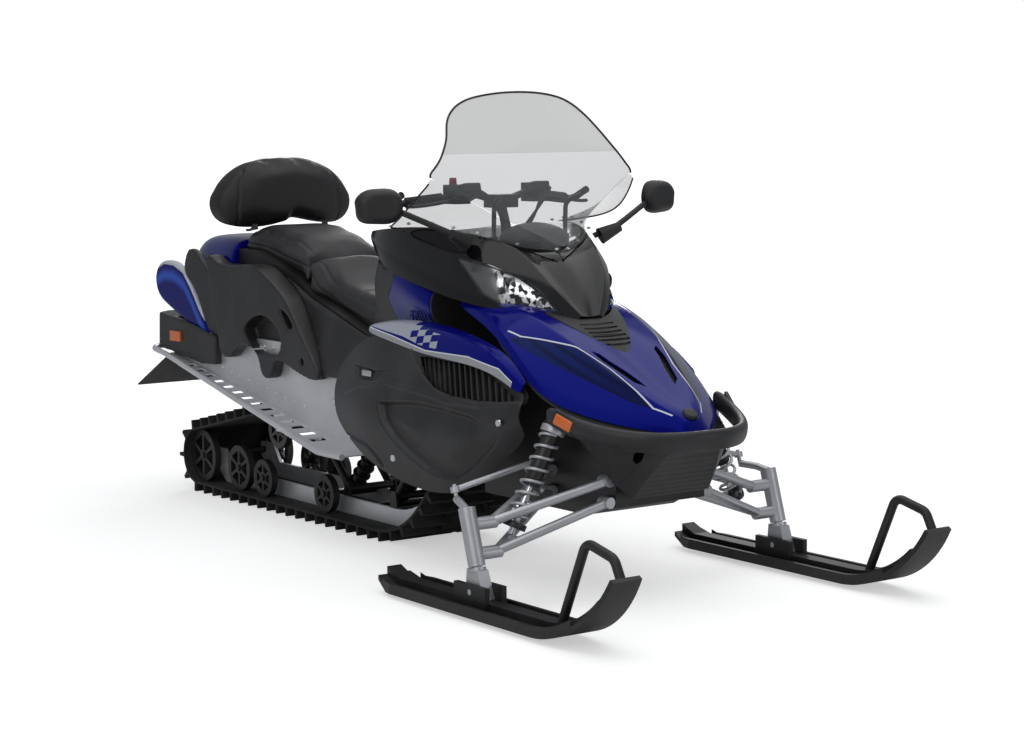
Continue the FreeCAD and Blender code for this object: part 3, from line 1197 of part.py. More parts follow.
def backrest(half, gap):
    """Domed backrest pad and the two flat struts that carry it from the seat base."""
    ring = [V(-1110, y, z) for y, z in ((0, 968), (170, 972), (248, 992), (279, 1040), (272, 1092), (236, 1148),
                                        (172, 1196), (90, 1221), (0, 1226))]
    line = ring + [V(p.x, -p.y, p.z) for p in ring[-2:0:-1]]
    pad = swept(line, V(size("pad_thick"), 0, 0), True)
    spun = [edge for edge in pad.Edges if abs(edge.BoundBox.XLength) < 1]
    saddle = doc.getObjectsByLabel("passenger_seat")[0]
    pad_obj = keep(cut("backrest_seated", fixed("backrest_raw", pad.makeFillet(30, spun)), saddle), "backrest_pad")
    struts = []
    for sign in (-1, 1):
        strut = swept([V(x, sign * (half - 34), z) for x, z in ((-1030, 900.3), (-960, 900.3), (-1004, 1060),
                                                              (-1036, 1060))], V(0, sign * 20, 0), False)
        struts.append(strut)
    raw = fixed("struts_raw", Part.makeCompound(struts))
    keep(cut("struts_seated", raw, pad_obj, saddle), "backrest_frame")


def rear():
    """Tail cowl and lamp, side fins and deflectors, lower rear cowl, bumper loop and snow flap."""
    gap = size("run_gap")
    back = -size("rear_reach")
    seat_back = -1060 - gap
    lines = ((seat_back, ((190, 600.3), (190, 760), (186, 880), (160, 918), (90, 929), (0, 931))),
             (-1180, ((188, 604), (188, 760), (180, 880), (146, 928), (80, 939), (0, 941))),
             (-1320, ((174, 650), (175, 780), (162, 880), (126, 924), (70, 936), (0, 938))),
             (-1420, ((146, 690), (148, 800), (136, 870), (104, 908), (58, 922), (0, 925))),
             (-1485, ((100, 724), (104, 790), (94, 846), (70, 876), (38, 886), (0, 888))))
    body = filled("tail_block", lines)
    tunnel_body = prism("tunnel_stock", ((-1700, 300), (500, 300), (500, size("tunnel_top") + gap),
                                         (-1700, size("tunnel_top") + gap)), -tunnel_half - gap, tunnel_half + gap)
    pods = [doc.getObjectsByLabel("passenger_pod_" + side)[0] for side in ("right", "left")]
    lamp = doc.addObject("Part::Box", "tail_lamp")
    lamp.Length = 34
    lamp.Width = 150
    lamp.Height = 42
    lamp.Placement.Base = V(-1494, -75, 792)
    keep(lamp, "tail_lamp")
    tail_part = keep(cut("tail_open", body, lamp, tunnel_body, *pods), "tail_cowl")
    fin = ((-1604, 770), (-1586, 812), (-1531, 838), (-1458, 836), (-1385, 812), (-1330, 760), (-1270, 690),
           (-1170, 592), (-1292, 606), (-1414, 643), (-1521, 680), (-1590, 722))
    blade = ((-1376, 840), (-1330, 890), (-1228, 836), (-1150, 780), (-1100, 592), (-1180, 590), (-1262, 690),
             (-1330, 766))
    inner = size("tail_width") / 2 + gap
    for sign, side in ((-1, "right"), (1, "left")):
        blade_part = prism("deflector_" + side, blade, sign * inner, sign * (inner + 26), True)
        fin_slab = swept([V(x, sign * (inner + 0), z) for x, z in fin], V(0, sign * 30, 0), True)
        bridge = Part.makeBox(90, 130, 44, V(-1460, inner + 20 - 130 if sign > 0 else -inner - 20, 740))
        keep(cut("fin_cut_" + side, fixed("fin_raw_" + side, fin_slab.fuse(bridge)), blade_part, tunnel_body,
                 tail_part),
             "tail_fin_" + side)
        keep(cut("deflector_cut_" + side, blade_part, tail_part, tunnel_body, *pods), "deflector_" + side)
    lower = ((-1597, 521), (-1590, 650), (-1300, 622), (-1124, 588), (-1129, 490), (-1240, 484), (-1476, 512))
    block = swept([V(x, size("rear_cowl_width") / 2, z) for x, z in lower], V(0, -size("rear_cowl_width"), 0), False)
    corners = [edge for edge in block.Edges if abs(edge.BoundBox.YLength) < 1 and edge.BoundBox.XMax < -1580
               and edge.Length > 120]
    shell_body = fixed("rear_cowl_block", block.makeFillet(size("rear_cowl_round"), corners))
    tunnel_side = prism("rear_cowl_room", ((-1470, 300), (-1000, 300), (-1000, 700), (-1470, 700)),
                        -tunnel_half - gap, tunnel_half + gap)
    inside = prism("rear_cowl_inside", ((-1578, 530), (-1570, 634), (-1400, 618), (-1400, 490), (-1578, 490)),
                   -tunnel_half + 6, tunnel_half - 6)
    fins = [doc.getObjectsByLabel("tail_fin_" + side)[0] for side in ("right", "left")]
    blades = [doc.getObjectsByLabel("deflector_" + side)[0] for side in ("right", "left")]
    lower_part = keep(cut("rear_cowl_seated", shell_body, tunnel_side, inside, tail_part, *(fins + blades)),
                      "rear_cowl")
    reach = size("board_rear_reach")
    start = size("tunnel_rear") - 2 - gap
    level = size("board_rear_z") + size("board_thick") / 2
    loop = bent_tube([V(start, -reach, level), V(-1596, -reach, level + 18), V(-1596, reach, level + 18),
                      V(start, reach, level)], size("edge_tube"), 50)
    loop_part = fixed("rear_bumper_raw", loop)
    keep(cut("rear_bumper_seated", loop_part, lower_part), "rear_bumper")
    thick = size("flap_thick")
    wide = size("flap_half")
    top = V(-1480, 0, size("flap_high"))
    low = V(back, 0, size("flap_low"))
    lean = (low - top).normalize()
    side = V(-lean.z, 0, lean.x)
    if side.x > 0:
        side = side * -1
    low = low - side * thick
    wires = []
    for spot, reach in ((top, wide * 0.76), (low, wide)):
        wires.append(Part.makePolygon([spot + V(0, -reach, 0), spot + V(0, reach, 0),
                                       spot + side * thick + V(0, reach, 0),
                                       spot + side * thick + V(0, -reach, 0), spot + V(0, -reach, 0)]))
    flap = fixed("flap_raw", Part.makeLoft(wires, True, True))
    keep(cut("flap_seated", flap, lower_part, tow_hitch(), loop_part), "snow_flap")


def reflectors():
    """Amber reflectors on the rear cowl and beside the nose."""
    gap = size("run_gap")
    pieces = []
    for sign in (-1, 1):
        y = sign * (size("rear_cowl_width") / 2 + gap)
        pieces.append(Part.makeBox(78, 7, 36, V(-1462, min(y, y + sign * 7), 552)))
    keep(fixed("reflectors_raw", Part.makeCompound(pieces)), "reflectors")


def tow_hitch():
    """Cross plate in the tunnel's rear mouth with a drilled tongue, and the flap's slot for it."""
    reach = tunnel_half - size("tunnel_wall") - size("run_gap")
    plate = size("frame_plate")
    front = size("tunnel_rear") + 8
    low = size("hitch_z")
    thick = size("hitch_plate")
    wide = size("hitch_width")
    wall = Part.makeBox(plate, 2 * reach, size("tunnel_top") - size("tunnel_wall") - size("run_gap") - low,
                        V(front - plate, -reach, low))
    tongue = Part.makeBox(size("hitch_reach"), wide, thick,
                          V(front - size("hitch_reach"), -wide / 2, low))
    pin = Part.makeCylinder(size("hitch_bore"), 3 * thick, V(front - size("hitch_reach") + 24, 0, low - thick))
    keep(fixed("hitch_raw", wall.fuse(tongue).cut(pin)), "hitch")
    room = size("run_gap") + 2
    slot = Part.makeBox(size("hitch_reach"), wide + 2 * room, thick + 2 * room,
                        V(front - size("hitch_reach"), -wide / 2 - room, low - room))
    drop = Part.makeCylinder(size("hitch_bore") + 8, 160, V(front - size("hitch_reach") + 24, 0, low - 150))
    return fixed("hitch_slot", slot.fuse(drop))


tunnel()
running_boards()
front_frame()
track()
slide_rails()
carrier_shafts = track_wheels()
suspension_arms(carrier_shafts)
drive_axle()
front_arms()
spindles_and_skis()
steering()
cowl_solid = bodywork()
shield()
mirrors(cowl_solid)
screen_stays(cowl_solid)
console()
nose_cowl()
side_panels(filled("hood_room", grown(HOOD_LINES, size("panel_seam"), 8)))
seats()
rear()
reflectors()
doc.recompute()

for obj in doc.Objects:
    if "Invalid" in obj.State or "Error" in obj.State:
        raise RuntimeError("%s did not build: %s" % (obj.Name, obj.State))
os.makedirs("parts", exist_ok=True)
for label, single in (("knuckles", "knuckle"), ("wishbones", "wishbones"), ("shocks", "shock"),
                      ("grilles", "grille"), ("mirrors", "mirror"), ("knee_panels", "knee_panel"),
                      ("tail_fins", "tail_fin"), ("deflectors", "deflector"), ("passenger_pods", "passenger_pod"),
                      ("seat_skirts", "seat_skirt"), ("upper_panels", "upper_panel")):
    pair(label, single + "_right", single + "_left")
doc.recompute()
for obj in parts:
    if obj.Shape.isNull() or not obj.Shape.isValid():
        raise RuntimeError("%s has a bad shape" % obj.Label)
for obj in parts:
    obj.Shape.exportStep("parts/%s.step" % obj.Label)
box = Part.makeCompound([obj.Shape for obj in parts]).BoundBox
print("nodes", len(parts), "box", [round(v, 1) for v in (box.XMin, box.XMax, box.YMin, box.YMax, box.ZMin, box.ZMax)])
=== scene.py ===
import math

import bmesh
import bpy
from mathutils import Matrix, Vector


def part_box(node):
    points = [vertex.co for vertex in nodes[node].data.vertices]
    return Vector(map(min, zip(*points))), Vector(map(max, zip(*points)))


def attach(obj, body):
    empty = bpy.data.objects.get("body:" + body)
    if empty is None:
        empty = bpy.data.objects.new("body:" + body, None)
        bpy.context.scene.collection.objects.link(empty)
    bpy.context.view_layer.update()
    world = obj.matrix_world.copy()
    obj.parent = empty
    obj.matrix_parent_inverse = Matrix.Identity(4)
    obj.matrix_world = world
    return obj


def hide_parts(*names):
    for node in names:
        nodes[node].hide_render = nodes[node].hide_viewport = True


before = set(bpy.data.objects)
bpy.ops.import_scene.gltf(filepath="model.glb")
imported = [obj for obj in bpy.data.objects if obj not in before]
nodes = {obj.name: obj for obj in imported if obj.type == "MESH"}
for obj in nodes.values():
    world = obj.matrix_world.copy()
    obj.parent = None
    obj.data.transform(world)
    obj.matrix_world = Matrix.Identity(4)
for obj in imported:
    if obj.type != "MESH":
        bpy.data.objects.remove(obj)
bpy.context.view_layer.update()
scene = bpy.context.scene

# Camera: the low three-quarter view from the machine's right front, with a long lens
# so that the skis stay in proportion.
AZIMUTH = 0.952666
RISE = 0.109963
ROLL = -0.009417
EYE = Vector((5.96315, -3.99143, 1.35542))
SENSOR = 36
FOCAL_LENGTH = 79.77
back = Vector((math.sin(AZIMUTH) * math.cos(RISE), -math.cos(AZIMUTH) * math.cos(RISE), math.sin(RISE)))
level = Vector((0, 0, 1)).cross(back).normalized()
upright = back.cross(level)
right = math.cos(ROLL) * level + math.sin(ROLL) * upright
up = -math.sin(ROLL) * level + math.cos(ROLL) * upright
lens = bpy.data.cameras.new("studio_camera")
lens.sensor_width = SENSOR
lens.lens = FOCAL_LENGTH
lens.clip_end = 200
camera = bpy.data.objects.new("studio_camera", lens)
camera.matrix_world = Matrix.Translation(EYE) @ Matrix((right, up, back)).transposed().to_4x4()
scene.collection.objects.link(camera)
scene.camera = camera
scene.view_settings.view_transform = "Standard"


# Studio: a pale floor that keeps the soft shadow, a backdrop that is white to the camera and
# through glass and grey to all else, and large soft lamps overhead, at both sides and in front.
class Value:
    """A number from a node's socket, with the usual sums."""

    def __init__(self, finish, socket):
        self.finish = finish
        self.socket = socket

    def sum(self, operation, *others):
        return self.finish.node("ShaderNodeMath", {"operation": operation}, self, *others)

    def __add__(self, other):
        return self.sum("ADD", other)

    def __sub__(self, other):
        return self.sum("SUBTRACT", other)

    def __mul__(self, other):
        return self.sum("MULTIPLY", other)

    def __truediv__(self, other):
        return self.sum("DIVIDE", other)

    def __rsub__(self, other):
        return self.finish.node("ShaderNodeMath", {"operation": "SUBTRACT"}, other, self)

    def abs(self):
        return self.sum("ABSOLUTE")

    def min(self, other):
        return self.sum("MINIMUM", other)

    def max(self, other):
        return self.sum("MAXIMUM", other)

    def above(self, edge, soft=0.0005):
        """1 where the value is over the edge, with a soft step."""
        return ((self - edge) / (2 * soft) + 0.5).min(1.0).max(0.0)

    def below(self, edge, soft=0.0005):
        return 1.0 - self.above(edge, soft)


class Finish:
    """One material, written as sums on its sockets."""

    def __init__(self, name, color=(0.5, 0.5, 0.5), roughness=0.5, metallic=0.0, **fixed):
        self.material = bpy.data.materials.new(name)
        self.material.use_nodes = True
        self.tree = self.material.node_tree
        self.shader = self.tree.nodes["Principled BSDF"]
        self.set("Base Color", (*color, 1))
        self.set("Roughness", roughness)
        self.set("Metallic", metallic)
        for key, value in fixed.items():
            self.set(key.replace("_", " "), value)

    def node(self, kind, settings, *values, out=0):
        """Any node: its settings first, then the value or link of each socket in turn."""
        node = self.tree.nodes.new(kind)
        for key, value in settings.items():
            setattr(node, key, value)
        sockets = [s for s in node.inputs if s.enabled]
        for socket, value in zip(sockets, values):
            if value is None:
                continue
            if isinstance(value, Value):
                self.tree.links.new(value.socket, socket)
            else:
                socket.default_value = value
        outputs = [s for s in node.outputs if s.enabled]
        return Value(self, outputs[out])

    def set(self, name, value):
        socket = self.shader.inputs[name]
        if isinstance(value, Value):
            self.tree.links.new(value.socket, socket)
        else:
            socket.default_value = value

    def place(self):
        """Object coordinates, and their three numbers."""
        spot = self.node("ShaderNodeTexCoord", {}, out=3)
        parts = self.tree.nodes.new("ShaderNodeSeparateXYZ")
        self.tree.links.new(spot.socket, parts.inputs[0])
        return spot, *[Value(self, s) for s in parts.outputs]

    def noise(self, spot, scale, detail=3.0, rough=0.5):
        return self.node("ShaderNodeTexNoise", {}, spot, scale, detail, rough)

    def mix(self, share, first, second):
        """A colour between two colours."""
        first, second = [(*color, 1) if isinstance(color, tuple) else color for color in (first, second)]
        return self.node("ShaderNodeMix", {"data_type": "RGBA"}, share, first, second)

    def follow(self, value, points):
        """A height that runs straight from point to point as the value grows."""
        total = (value * 0.0) + points[0][1]
        for (a0, b0), (a1, b1) in zip(points, points[1:]):
            total = total + (value - a0).max(0.0).min(a1 - a0) * ((b1 - b0) / (a1 - a0))
        return total

    def bump(self, height, strength, distance=0.001):
        shade = self.node("ShaderNodeBump", {}, strength, distance)
        bump = shade.socket.node
        self.tree.links.new(height.socket, bump.inputs["Height"])
        self.set("Normal", shade)


floor_mesh = bpy.data.meshes.new("studio_floor")
floor_form = bmesh.new()
bmesh.ops.create_grid(floor_form, x_segments=1, y_segments=1, size=60)
floor_form.to_mesh(floor_mesh)
floor_form.free()
floor = bpy.data.objects.new("studio_floor", floor_mesh)
scene.collection.objects.link(floor)
floor_finish = Finish("studio_floor", (0.8, 0.8, 0.8), 0.9, Specular_IOR_Level=0.0)
ray = floor_finish.tree.nodes.new("ShaderNodeLightPath")
seen = Value(floor_finish, ray.outputs["Is Camera Ray"]).max(
    Value(floor_finish, ray.outputs["Is Transmission Ray"]))
spot, x, y, z = floor_finish.place()
PALE_FROM = 2.2
PALE_RUN = 7.0
far = ((x * x + y * y).sum("SQRT") - PALE_FROM) / PALE_RUN
pale = floor_finish.mix(far.max(0.0).min(1.0), (0.5, 0.5, 0.5), (1.0, 1.0, 1.0))
floor_finish.set("Emission Color", floor_finish.mix(seen, (0, 0, 0), pale))
floor_finish.set("Emission Strength", 1.0)
floor_mesh.materials.append(floor_finish.material)

world = bpy.data.worlds.new("studio_backdrop")
scene.world = world
world.use_nodes = True
tree = world.node_tree
backdrop = tree.nodes["Background"]
ray = tree.nodes.new("ShaderNodeLightPath")
seen = tree.nodes.new("ShaderNodeMath")
seen.operation = "MAXIMUM"
tree.links.new(ray.outputs["Is Camera Ray"], seen.inputs[0])
tree.links.new(ray.outputs["Is Transmission Ray"], seen.inputs[1])
tone = tree.nodes.new("ShaderNodeMix")
tone.data_type = "RGBA"
tone.inputs["A"].default_value = (0.3, 0.31, 0.32, 1)
tone.inputs["B"].default_value = (1, 1, 1, 1)
tree.links.new(seen.outputs[0], tone.inputs["Factor"])
tree.links.new(tone.outputs["Result"], backdrop.inputs["Color"])

# Each lamp: its name, place, aim, width, depth and watts.
LAMPS = (("overhead", (0.6, 0.2, 4.2), (0.2, 0, 0.5), 7.5, 5.5, 112),
         ("front_side", (3.6, -5.6, 3.0), (0.2, 0, 0.6), 4.4, 2.4, 60),
         ("rear_edge", (-4.2, 3.6, 3.0), (0, 0, 0.8), 3.0, 1.2, 60),
         ("nose", (6.5, 2.0, 1.6), (0.6, 0, 0.6), 1.6, 1.6, 22))
for lamp_name, spot, aim, wide, deep, watts in LAMPS:
    lamp_data = bpy.data.lights.new(lamp_name, "AREA")
    lamp_data.shape = "RECTANGLE"
    lamp_data.size = wide
    lamp_data.size_y = deep
    lamp_data.energy = watts
    lamp = bpy.data.objects.new(lamp_name, lamp_data)
    turn = (Vector(aim) - Vector(spot)).to_track_quat("-Z", "Y").to_matrix().to_4x4()
    lamp.matrix_world = Matrix.Translation(spot) @ turn
    scene.collection.objects.link(lamp)


# Shared stock: the plastics, rubbers, metals and paint that more than one piece is made of.
# Each is cut, moulded or coated before the pieces are put together.
def grain(name, color, roughness, size, depth, wear=0.0, **fixed):
    """Moulded plastic or rubber: a fine grain, and slow changes of gloss."""
    finish = Finish(name, color, roughness, **fixed)
    spot = finish.place()[0]
    cloud = finish.noise(spot, 7.0, 3.0)
    fine = finish.noise(spot, size, 2.0)
    finish.set("Roughness", cloud * 0.12 + (roughness - 0.06) + fine * 0.04)
    pale = tuple(min(1.0, c * (1.0 + wear) + wear * 0.01) for c in color)
    finish.set("Base Color", finish.mix(cloud.above(0.56, 0.12), color, pale))
    finish.bump(fine, depth, 0.0006)
    return finish.material


def metal(name, color, roughness, brush=(1.0, 1.0, 1.0), depth=0.08, metallic=1.0, size=160.0, **fixed):
    """Bare or coated metal: a brushed or cast grain, stretched along one axis."""
    finish = Finish(name, color, roughness, metallic, **fixed)
    spot = finish.place()[0]
    stretched = finish.node("ShaderNodeMapping", {}, spot, (0, 0, 0), (0, 0, 0), brush)
    lines = finish.noise(stretched, size, 3.0)
    cloud = finish.noise(spot, 5.0, 3.0)
    finish.set("Roughness", lines * 0.12 + cloud * 0.14 + (roughness - 0.13))
    dull = tuple(c * 0.82 for c in color)
    finish.set("Base Color", finish.mix(cloud.above(0.5, 0.2), color, dull))
    finish.bump(lines, depth, 0.0004)
    return finish.material


MATT_BLACK = grain("matt_black_plastic", (0.011, 0.011, 0.012), 0.46, 900.0, 0.35, 0.5)
DARK_PLASTIC = grain("dark_plastic", (0.016, 0.016, 0.0175), 0.42, 900.0, 0.3, 0.5)
GLOSS_BLACK = grain("gloss_black", (0.005, 0.005, 0.006), 0.1, 300.0, 0.01, 0.2)
RUBBER = grain("black_rubber", (0.013, 0.013, 0.013), 0.72, 500.0, 0.5, 0.8)
ALUMINIUM = metal("satin_aluminium", (0.80, 0.81, 0.84), 0.42, (1.0, 12.0, 12.0), 0.1, 0.7, 40.0)
SILVER = metal("silver_coat", (0.56, 0.57, 0.6), 0.4, depth=0.12, metallic=0.75, size=420.0)
CHROME = metal("bright_steel", (0.75, 0.76, 0.78), 0.16, depth=0.02, size=90.0)
BLACK_STEEL = grain("black_steel", (0.012, 0.012, 0.013), 0.33, 700.0, 0.1, 0.4)
CAST = metal("cast_engine", (0.25, 0.25, 0.26), 0.55, depth=0.3, size=200.0)


def dress(obj, material):
    """Give a piece its finish."""
    obj.data.materials.clear()
    obj.data.materials.append(material)


for material, names in (
        (RUBBER, "track hand_grips"),
        (ALUMINIUM, "tunnel running_board_right running_board_left slide_rails rear_bumper"),
        (CAST, "engine_block"),
        (SILVER, "knuckles wishbones spindle_right spindle_left tie_rod_right tie_rod_left"),
        (BLACK_STEEL, "front_frame suspension_arms track_shocks shocks handlebar screen_stays hitch "
                      "backrest_frame"),
        (DARK_PLASTIC, "front_bumper console"),
        (MATT_BLACK, "bogie_wheels rear_idlers drive_axle ski_right ski_left switch_pods mirrors grilles "
                     "hood_vent seat_base")):
    for node in names.split():
        dress(nodes[node], material)


# Hood: one moulded and painted shell, with a dark vent under the windshield's point and a narrow
# scoop on each side of the nose. A quarter-turn fastener holds its tip.
HOOD_LINES = ((430, ((246, 798), (236, 813), (210, 827), (162, 838), (92, 847), (0, 849))),
              (520, ((258, 772), (248, 791), (224, 808), (182, 825), (97, 833), (0, 834))),
              (640, ((272, 734), (262, 754), (239, 773), (178, 803), (92, 813), (0, 812))),
              (760, ((286, 662), (276, 685), (249, 708), (167, 758), (86, 762), (0, 758))),
              (880, ((294, 578), (280, 603), (221, 652), (152, 703), (77, 704), (0, 698))),
              (1000, ((251, 533), (226, 560), (175, 598), (124, 637), (62, 639), (0, 633))),
              (1130, ((159, 498), (141, 518), (109, 543), (77, 564), (38, 565), (0, 563))),
              (1208, ((62, 483), (56, 496), (44, 510), (30, 522), (15, 528), (0, 529))),
              (1224, ((52, 474), (46, 480), (36, 486), (24, 490), (12, 492), (0, 492))),
              (1228, ((46, 462), (40, 464), (30, 466), (20, 467), (10, 468), (0, 468))))


def bridged(lines, creases, outward):
    """A moulded panel's outer face: lines of points in mm, each bridged to the next."""
    form = bmesh.new()
    hold = form.edges.layers.float.new("crease_edge")
    rows = []
    for line in lines:
        corners = [form.verts.new(Vector(p) / 1000) for p in line]
        rows.append((corners, [form.edges.new(pair) for pair in zip(corners, corners[1:])]))
    for (first, first_edges), (second, second_edges) in zip(rows, rows[1:]):
        bmesh.ops.bridge_loops(form, edges=first_edges + second_edges)
        for place, sharp in creases.items():
            for edge in first[place].link_edges:
                if edge.other_vert(first[place]) is second[place]:
                    edge[hold] = sharp
    bmesh.ops.recalc_face_normals(form, faces=form.faces)
    if sum(face.normal.dot(outward) for face in form.faces) < 0:
        bmesh.ops.reverse_faces(form, faces=form.faces)
    return form


def panel(sections, creases):
    """A panel across the machine: its half sections and their creases are mirrored."""
    lines = [[(x, -y, z) for y, z in half] + [(x, y, z) for y, z in half[-2::-1]] for x, half in sections]
    last = len(lines[0]) - 1
    both = {place: sharp for index, sharp in creases.items() for place in (index, last - index)}
    return bridged(lines, both, Vector((0, 0, 1)))


def piece(name, form, material, body="root", smooth=True):
    """Turn a shaped form into a named piece that rides on a body."""
    mesh = bpy.data.meshes.new(name)
    form.to_mesh(mesh)
    form.free()
    obj = bpy.data.objects.new(name, mesh)
    scene.collection.objects.link(obj)
    mesh.materials.append(material)
    mesh.polygons.foreach_set("use_smooth", [smooth] * len(mesh.polygons))
    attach(obj, body)
    return obj


def settle(obj, angle=None):
    """Apply a piece's modifiers, and shade it smooth up to an angle."""
    bpy.context.view_layer.update()
    mesh = bpy.data.meshes.new_from_object(obj.evaluated_get(bpy.context.evaluated_depsgraph_get()))
    obj.modifiers.clear()
    obj.data = mesh
    if angle is not None:
        mesh.polygons.foreach_set("use_smooth", [True] * len(mesh.polygons))
        mesh.set_sharp_from_angle(angle=math.radians(angle))


def smooth_out(obj, levels):
    """Round a coarse form by subdivision, the same in every view."""
    rounder = obj.modifiers.new("round", "SUBSURF")
    rounder.levels = levels
    rounder.render_levels = levels


def thicken(obj, wall, angle=35):
    """Give a moulded face its wall, inwards."""
    shell = obj.modifiers.new("wall", "SOLIDIFY")
    shell.thickness = wall
    shell.offset = -1
    settle(obj, angle)


def prism(outline, low, high, axis="y", sign=1):
    """A closed outline swept straight: (x, z) along y, (y, z) along x, or (x, y) along z."""
    form = bmesh.new()
    spots = {"y": lambda a, b: (a, sign * low, b), "x": lambda a, b: (low, sign * a, b),
             "z": lambda a, b: (a, sign * b, low)}[axis]
    face = form.faces.new([form.verts.new(Vector(spots(a, b)) / 1000) for a, b in outline])
    run = {"y": (0, sign * (high - low), 0), "x": (high - low, 0, 0), "z": (0, 0, high - low)}[axis]
    grown = bmesh.ops.extrude_face_region(form, geom=[face])
    moved = [part for part in grown["geom"] if isinstance(part, bmesh.types.BMVert)]
    bmesh.ops.translate(form, verts=moved, vec=Vector(run) / 1000)
    bmesh.ops.recalc_face_normals(form, faces=form.faces)
    return form


def carve(obj, form, operation="DIFFERENCE", angle=35):
    """Cut a piece by a swept outline, or keep what lies inside it."""
    mesh = bpy.data.meshes.new("tool")
    form.to_mesh(mesh)
    form.free()
    tool = bpy.data.objects.new("tool", mesh)
    scene.collection.objects.link(tool)
    cutter = obj.modifiers.new("cut", "BOOLEAN")
    cutter.operation = operation
    cutter.object = tool
    cutter.solver = "EXACT"
    settle(obj, angle)
    bpy.data.objects.remove(tool)


BLUE = (0.0025, 0.004, 0.15)
FLAKE = (0.004, 0.008, 0.24)
GLEAM = (0.05, 0.09, 0.8, 1.0)


def blue_paint(name):
    """Deep blue paint whose gloss is blue too."""
    return Finish(name, BLUE, 0.13, 0.0, Specular_IOR_Level=0.45, Specular_Tint=GLEAM)


def flaked(finish, spot):
    """The paint's blue with its lighter metal flakes."""
    return finish.mix(finish.noise(spot, 1400.0, 1.0).above(0.6, 0.1), BLUE, FLAKE)


paint = blue_paint("hood_paint")
spot, x, y, z = paint.place()
side = y.abs()
hue = flaked(paint, spot)
PINSTRIPE = ((0.683, 0.250), (0.729, 0.238), (0.780, 0.206), (0.876, 0.150), (0.985, 0.112), (1.138, 0.085),
             (1.182, 0.052))
FIELD_EDGE = ((0.715, 0.262), (0.798, 0.246), (0.889, 0.216), (1.021, 0.157), (1.093, 0.121), (1.138, 0.088))
line = paint.follow(x, PINSTRIPE)
field = side.above(line, 0.001) * side.below(paint.follow(x, FIELD_EDGE), 0.001)
field = field * x.above(FIELD_EDGE[0][0]) * x.below(1.135)
louvre = (x * 22.0 + z * 46.0).sum("FRACT")
hue = paint.mix(field * 0.9, hue, (0.002, 0.010, 0.050))
hue = paint.mix(field * louvre.above(0.62, 0.06) * 0.8, hue, (0.0008, 0.0015, 0.005))
hue = paint.mix(field * x.above(1.0, 0.12) * 0.8, hue, (0.002, 0.002, 0.003))
pinstripe = (side - line).abs().below(0.0022) * x.above(PINSTRIPE[0][0]) * x.below(PINSTRIPE[-1][0])
hue = paint.mix(pinstripe, hue, (0.7, 0.73, 0.78))
paint.set("Base Color", hue)

HOOD_WALL = 0.004
HOOD_CREASES = {1: 0.35, 3: 0.75, 5: 0.15}
hood = piece("hood_shell", panel(HOOD_LINES, HOOD_CREASES), paint.material)
smooth_out(hood, 4)
settle(hood)
thicken(hood, HOOD_WALL)
SCOOP = ((900, 118), (920, 116), (950, 112), (1000, 94), (1046, 78), (1070, 50), (1040, 56), (1000, 68), (950, 90),
         (915, 100))
VENT = ((690, -132), (764, -108), (840, -70), (896, -30), (918, 0), (896, 30), (840, 70), (764, 108), (690, 132))
for sign in (-1, 1):
    carve(hood, prism(SCOOP, 400, 900, "z", sign))
carve(hood, prism(VENT, 500, 900, "z"))
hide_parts("hood")

# Hood vent: a black grained insert with six cross louvres, clipped in from below. The dark
# liners under the two scoops are moulded with it.
LINER_WALL = 0.002
LINER_DROP = 14
VENT_SLATS = 6
VENT_PITCH = 26


def soften(form, edges, radius, segments=2):
    """Round a form's edges by a radius in mm."""
    bmesh.ops.bevel(form, geom=edges, offset=radius / 1000, segments=segments, profile=0.5, affect="EDGES",
                    material=-1)
    return form


def block(size, radius, segments=2):
    """A box in mm with rounded edges."""
    form = bmesh.new()
    bmesh.ops.create_cube(form, size=1)
    bmesh.ops.scale(form, verts=form.verts, vec=Vector(size) / 1000)
    return soften(form, form.edges[:], radius, segments)


def placed(form, place, **turns):
    """A small form turned about each axis named, in degrees, and set at a place in mm."""
    for axis, degrees in turns.items():
        bmesh.ops.rotate(form, verts=form.verts, matrix=Matrix.Rotation(math.radians(degrees), 3, axis))
    bmesh.ops.translate(form, verts=form.verts, vec=Vector(place) / 1000)
    return form


inner_lines = [(x, [(y * 0.985, z - LINER_DROP) for y, z in half]) for x, half in HOOD_LINES[2:]]
liner = piece("hood_liners", panel(inner_lines, {}), MATT_BLACK)
smooth_out(liner, 2)
settle(liner)
thicken(liner, LINER_WALL)
for index in range(VENT_SLATS):
    x0 = 742 + index * VENT_PITCH
    slat = placed(block((14, 128 - index * 13, 5), 1.6), (x0, 0, 804 - (x0 - 640) * 0.44), Y=-8)
    piece("vent_slat_%d" % index, slat, MATT_BLACK)

# Upper cowl: the gloss black fairing from the knees to the beak, open where the lamps sit.
COWL_LINES = ((-44, ((250, 964), (256, 984), (248, 1001), (228, 1002), (120, 993), (0, 991))),
              (90, ((299, 890), (304, 952), (288, 1017), (246, 996), (120, 987), (0, 987))),
              (300, ((294, 848), (297, 940), (258, 1030), (208, 1000), (104, 987), (0, 987))),
              (450, ((270, 814), (268, 914), (211, 1011), (166, 992), (84, 985), (0, 985))),
              (570, ((224, 794), (222, 902), (137, 979), (104, 968), (50, 965), (0, 965))),
              (650, ((161, 776), (161, 860), (125, 911), (78, 903), (34, 908), (0, 917))),
              (700, ((113, 766), (113, 814), (90, 850), (56, 837), (26, 840), (0, 845))),
              (747, ((46, 758), (44, 767), (34, 775), (22, 773), (10, 772), (0, 771))))
LENS = ((256, 944), (206, 922), (160, 886), (112, 830), (80, 782), (118, 782), (150, 787), (206, 803), (240, 838),
        (250, 880))
COWL_WALL = 0.005
COWL_CREASES = {0: 0.3, 2: 0.7, 3: 0.35}
cowl = piece("upper_cowl_shell", panel(COWL_LINES, COWL_CREASES), GLOSS_BLACK)
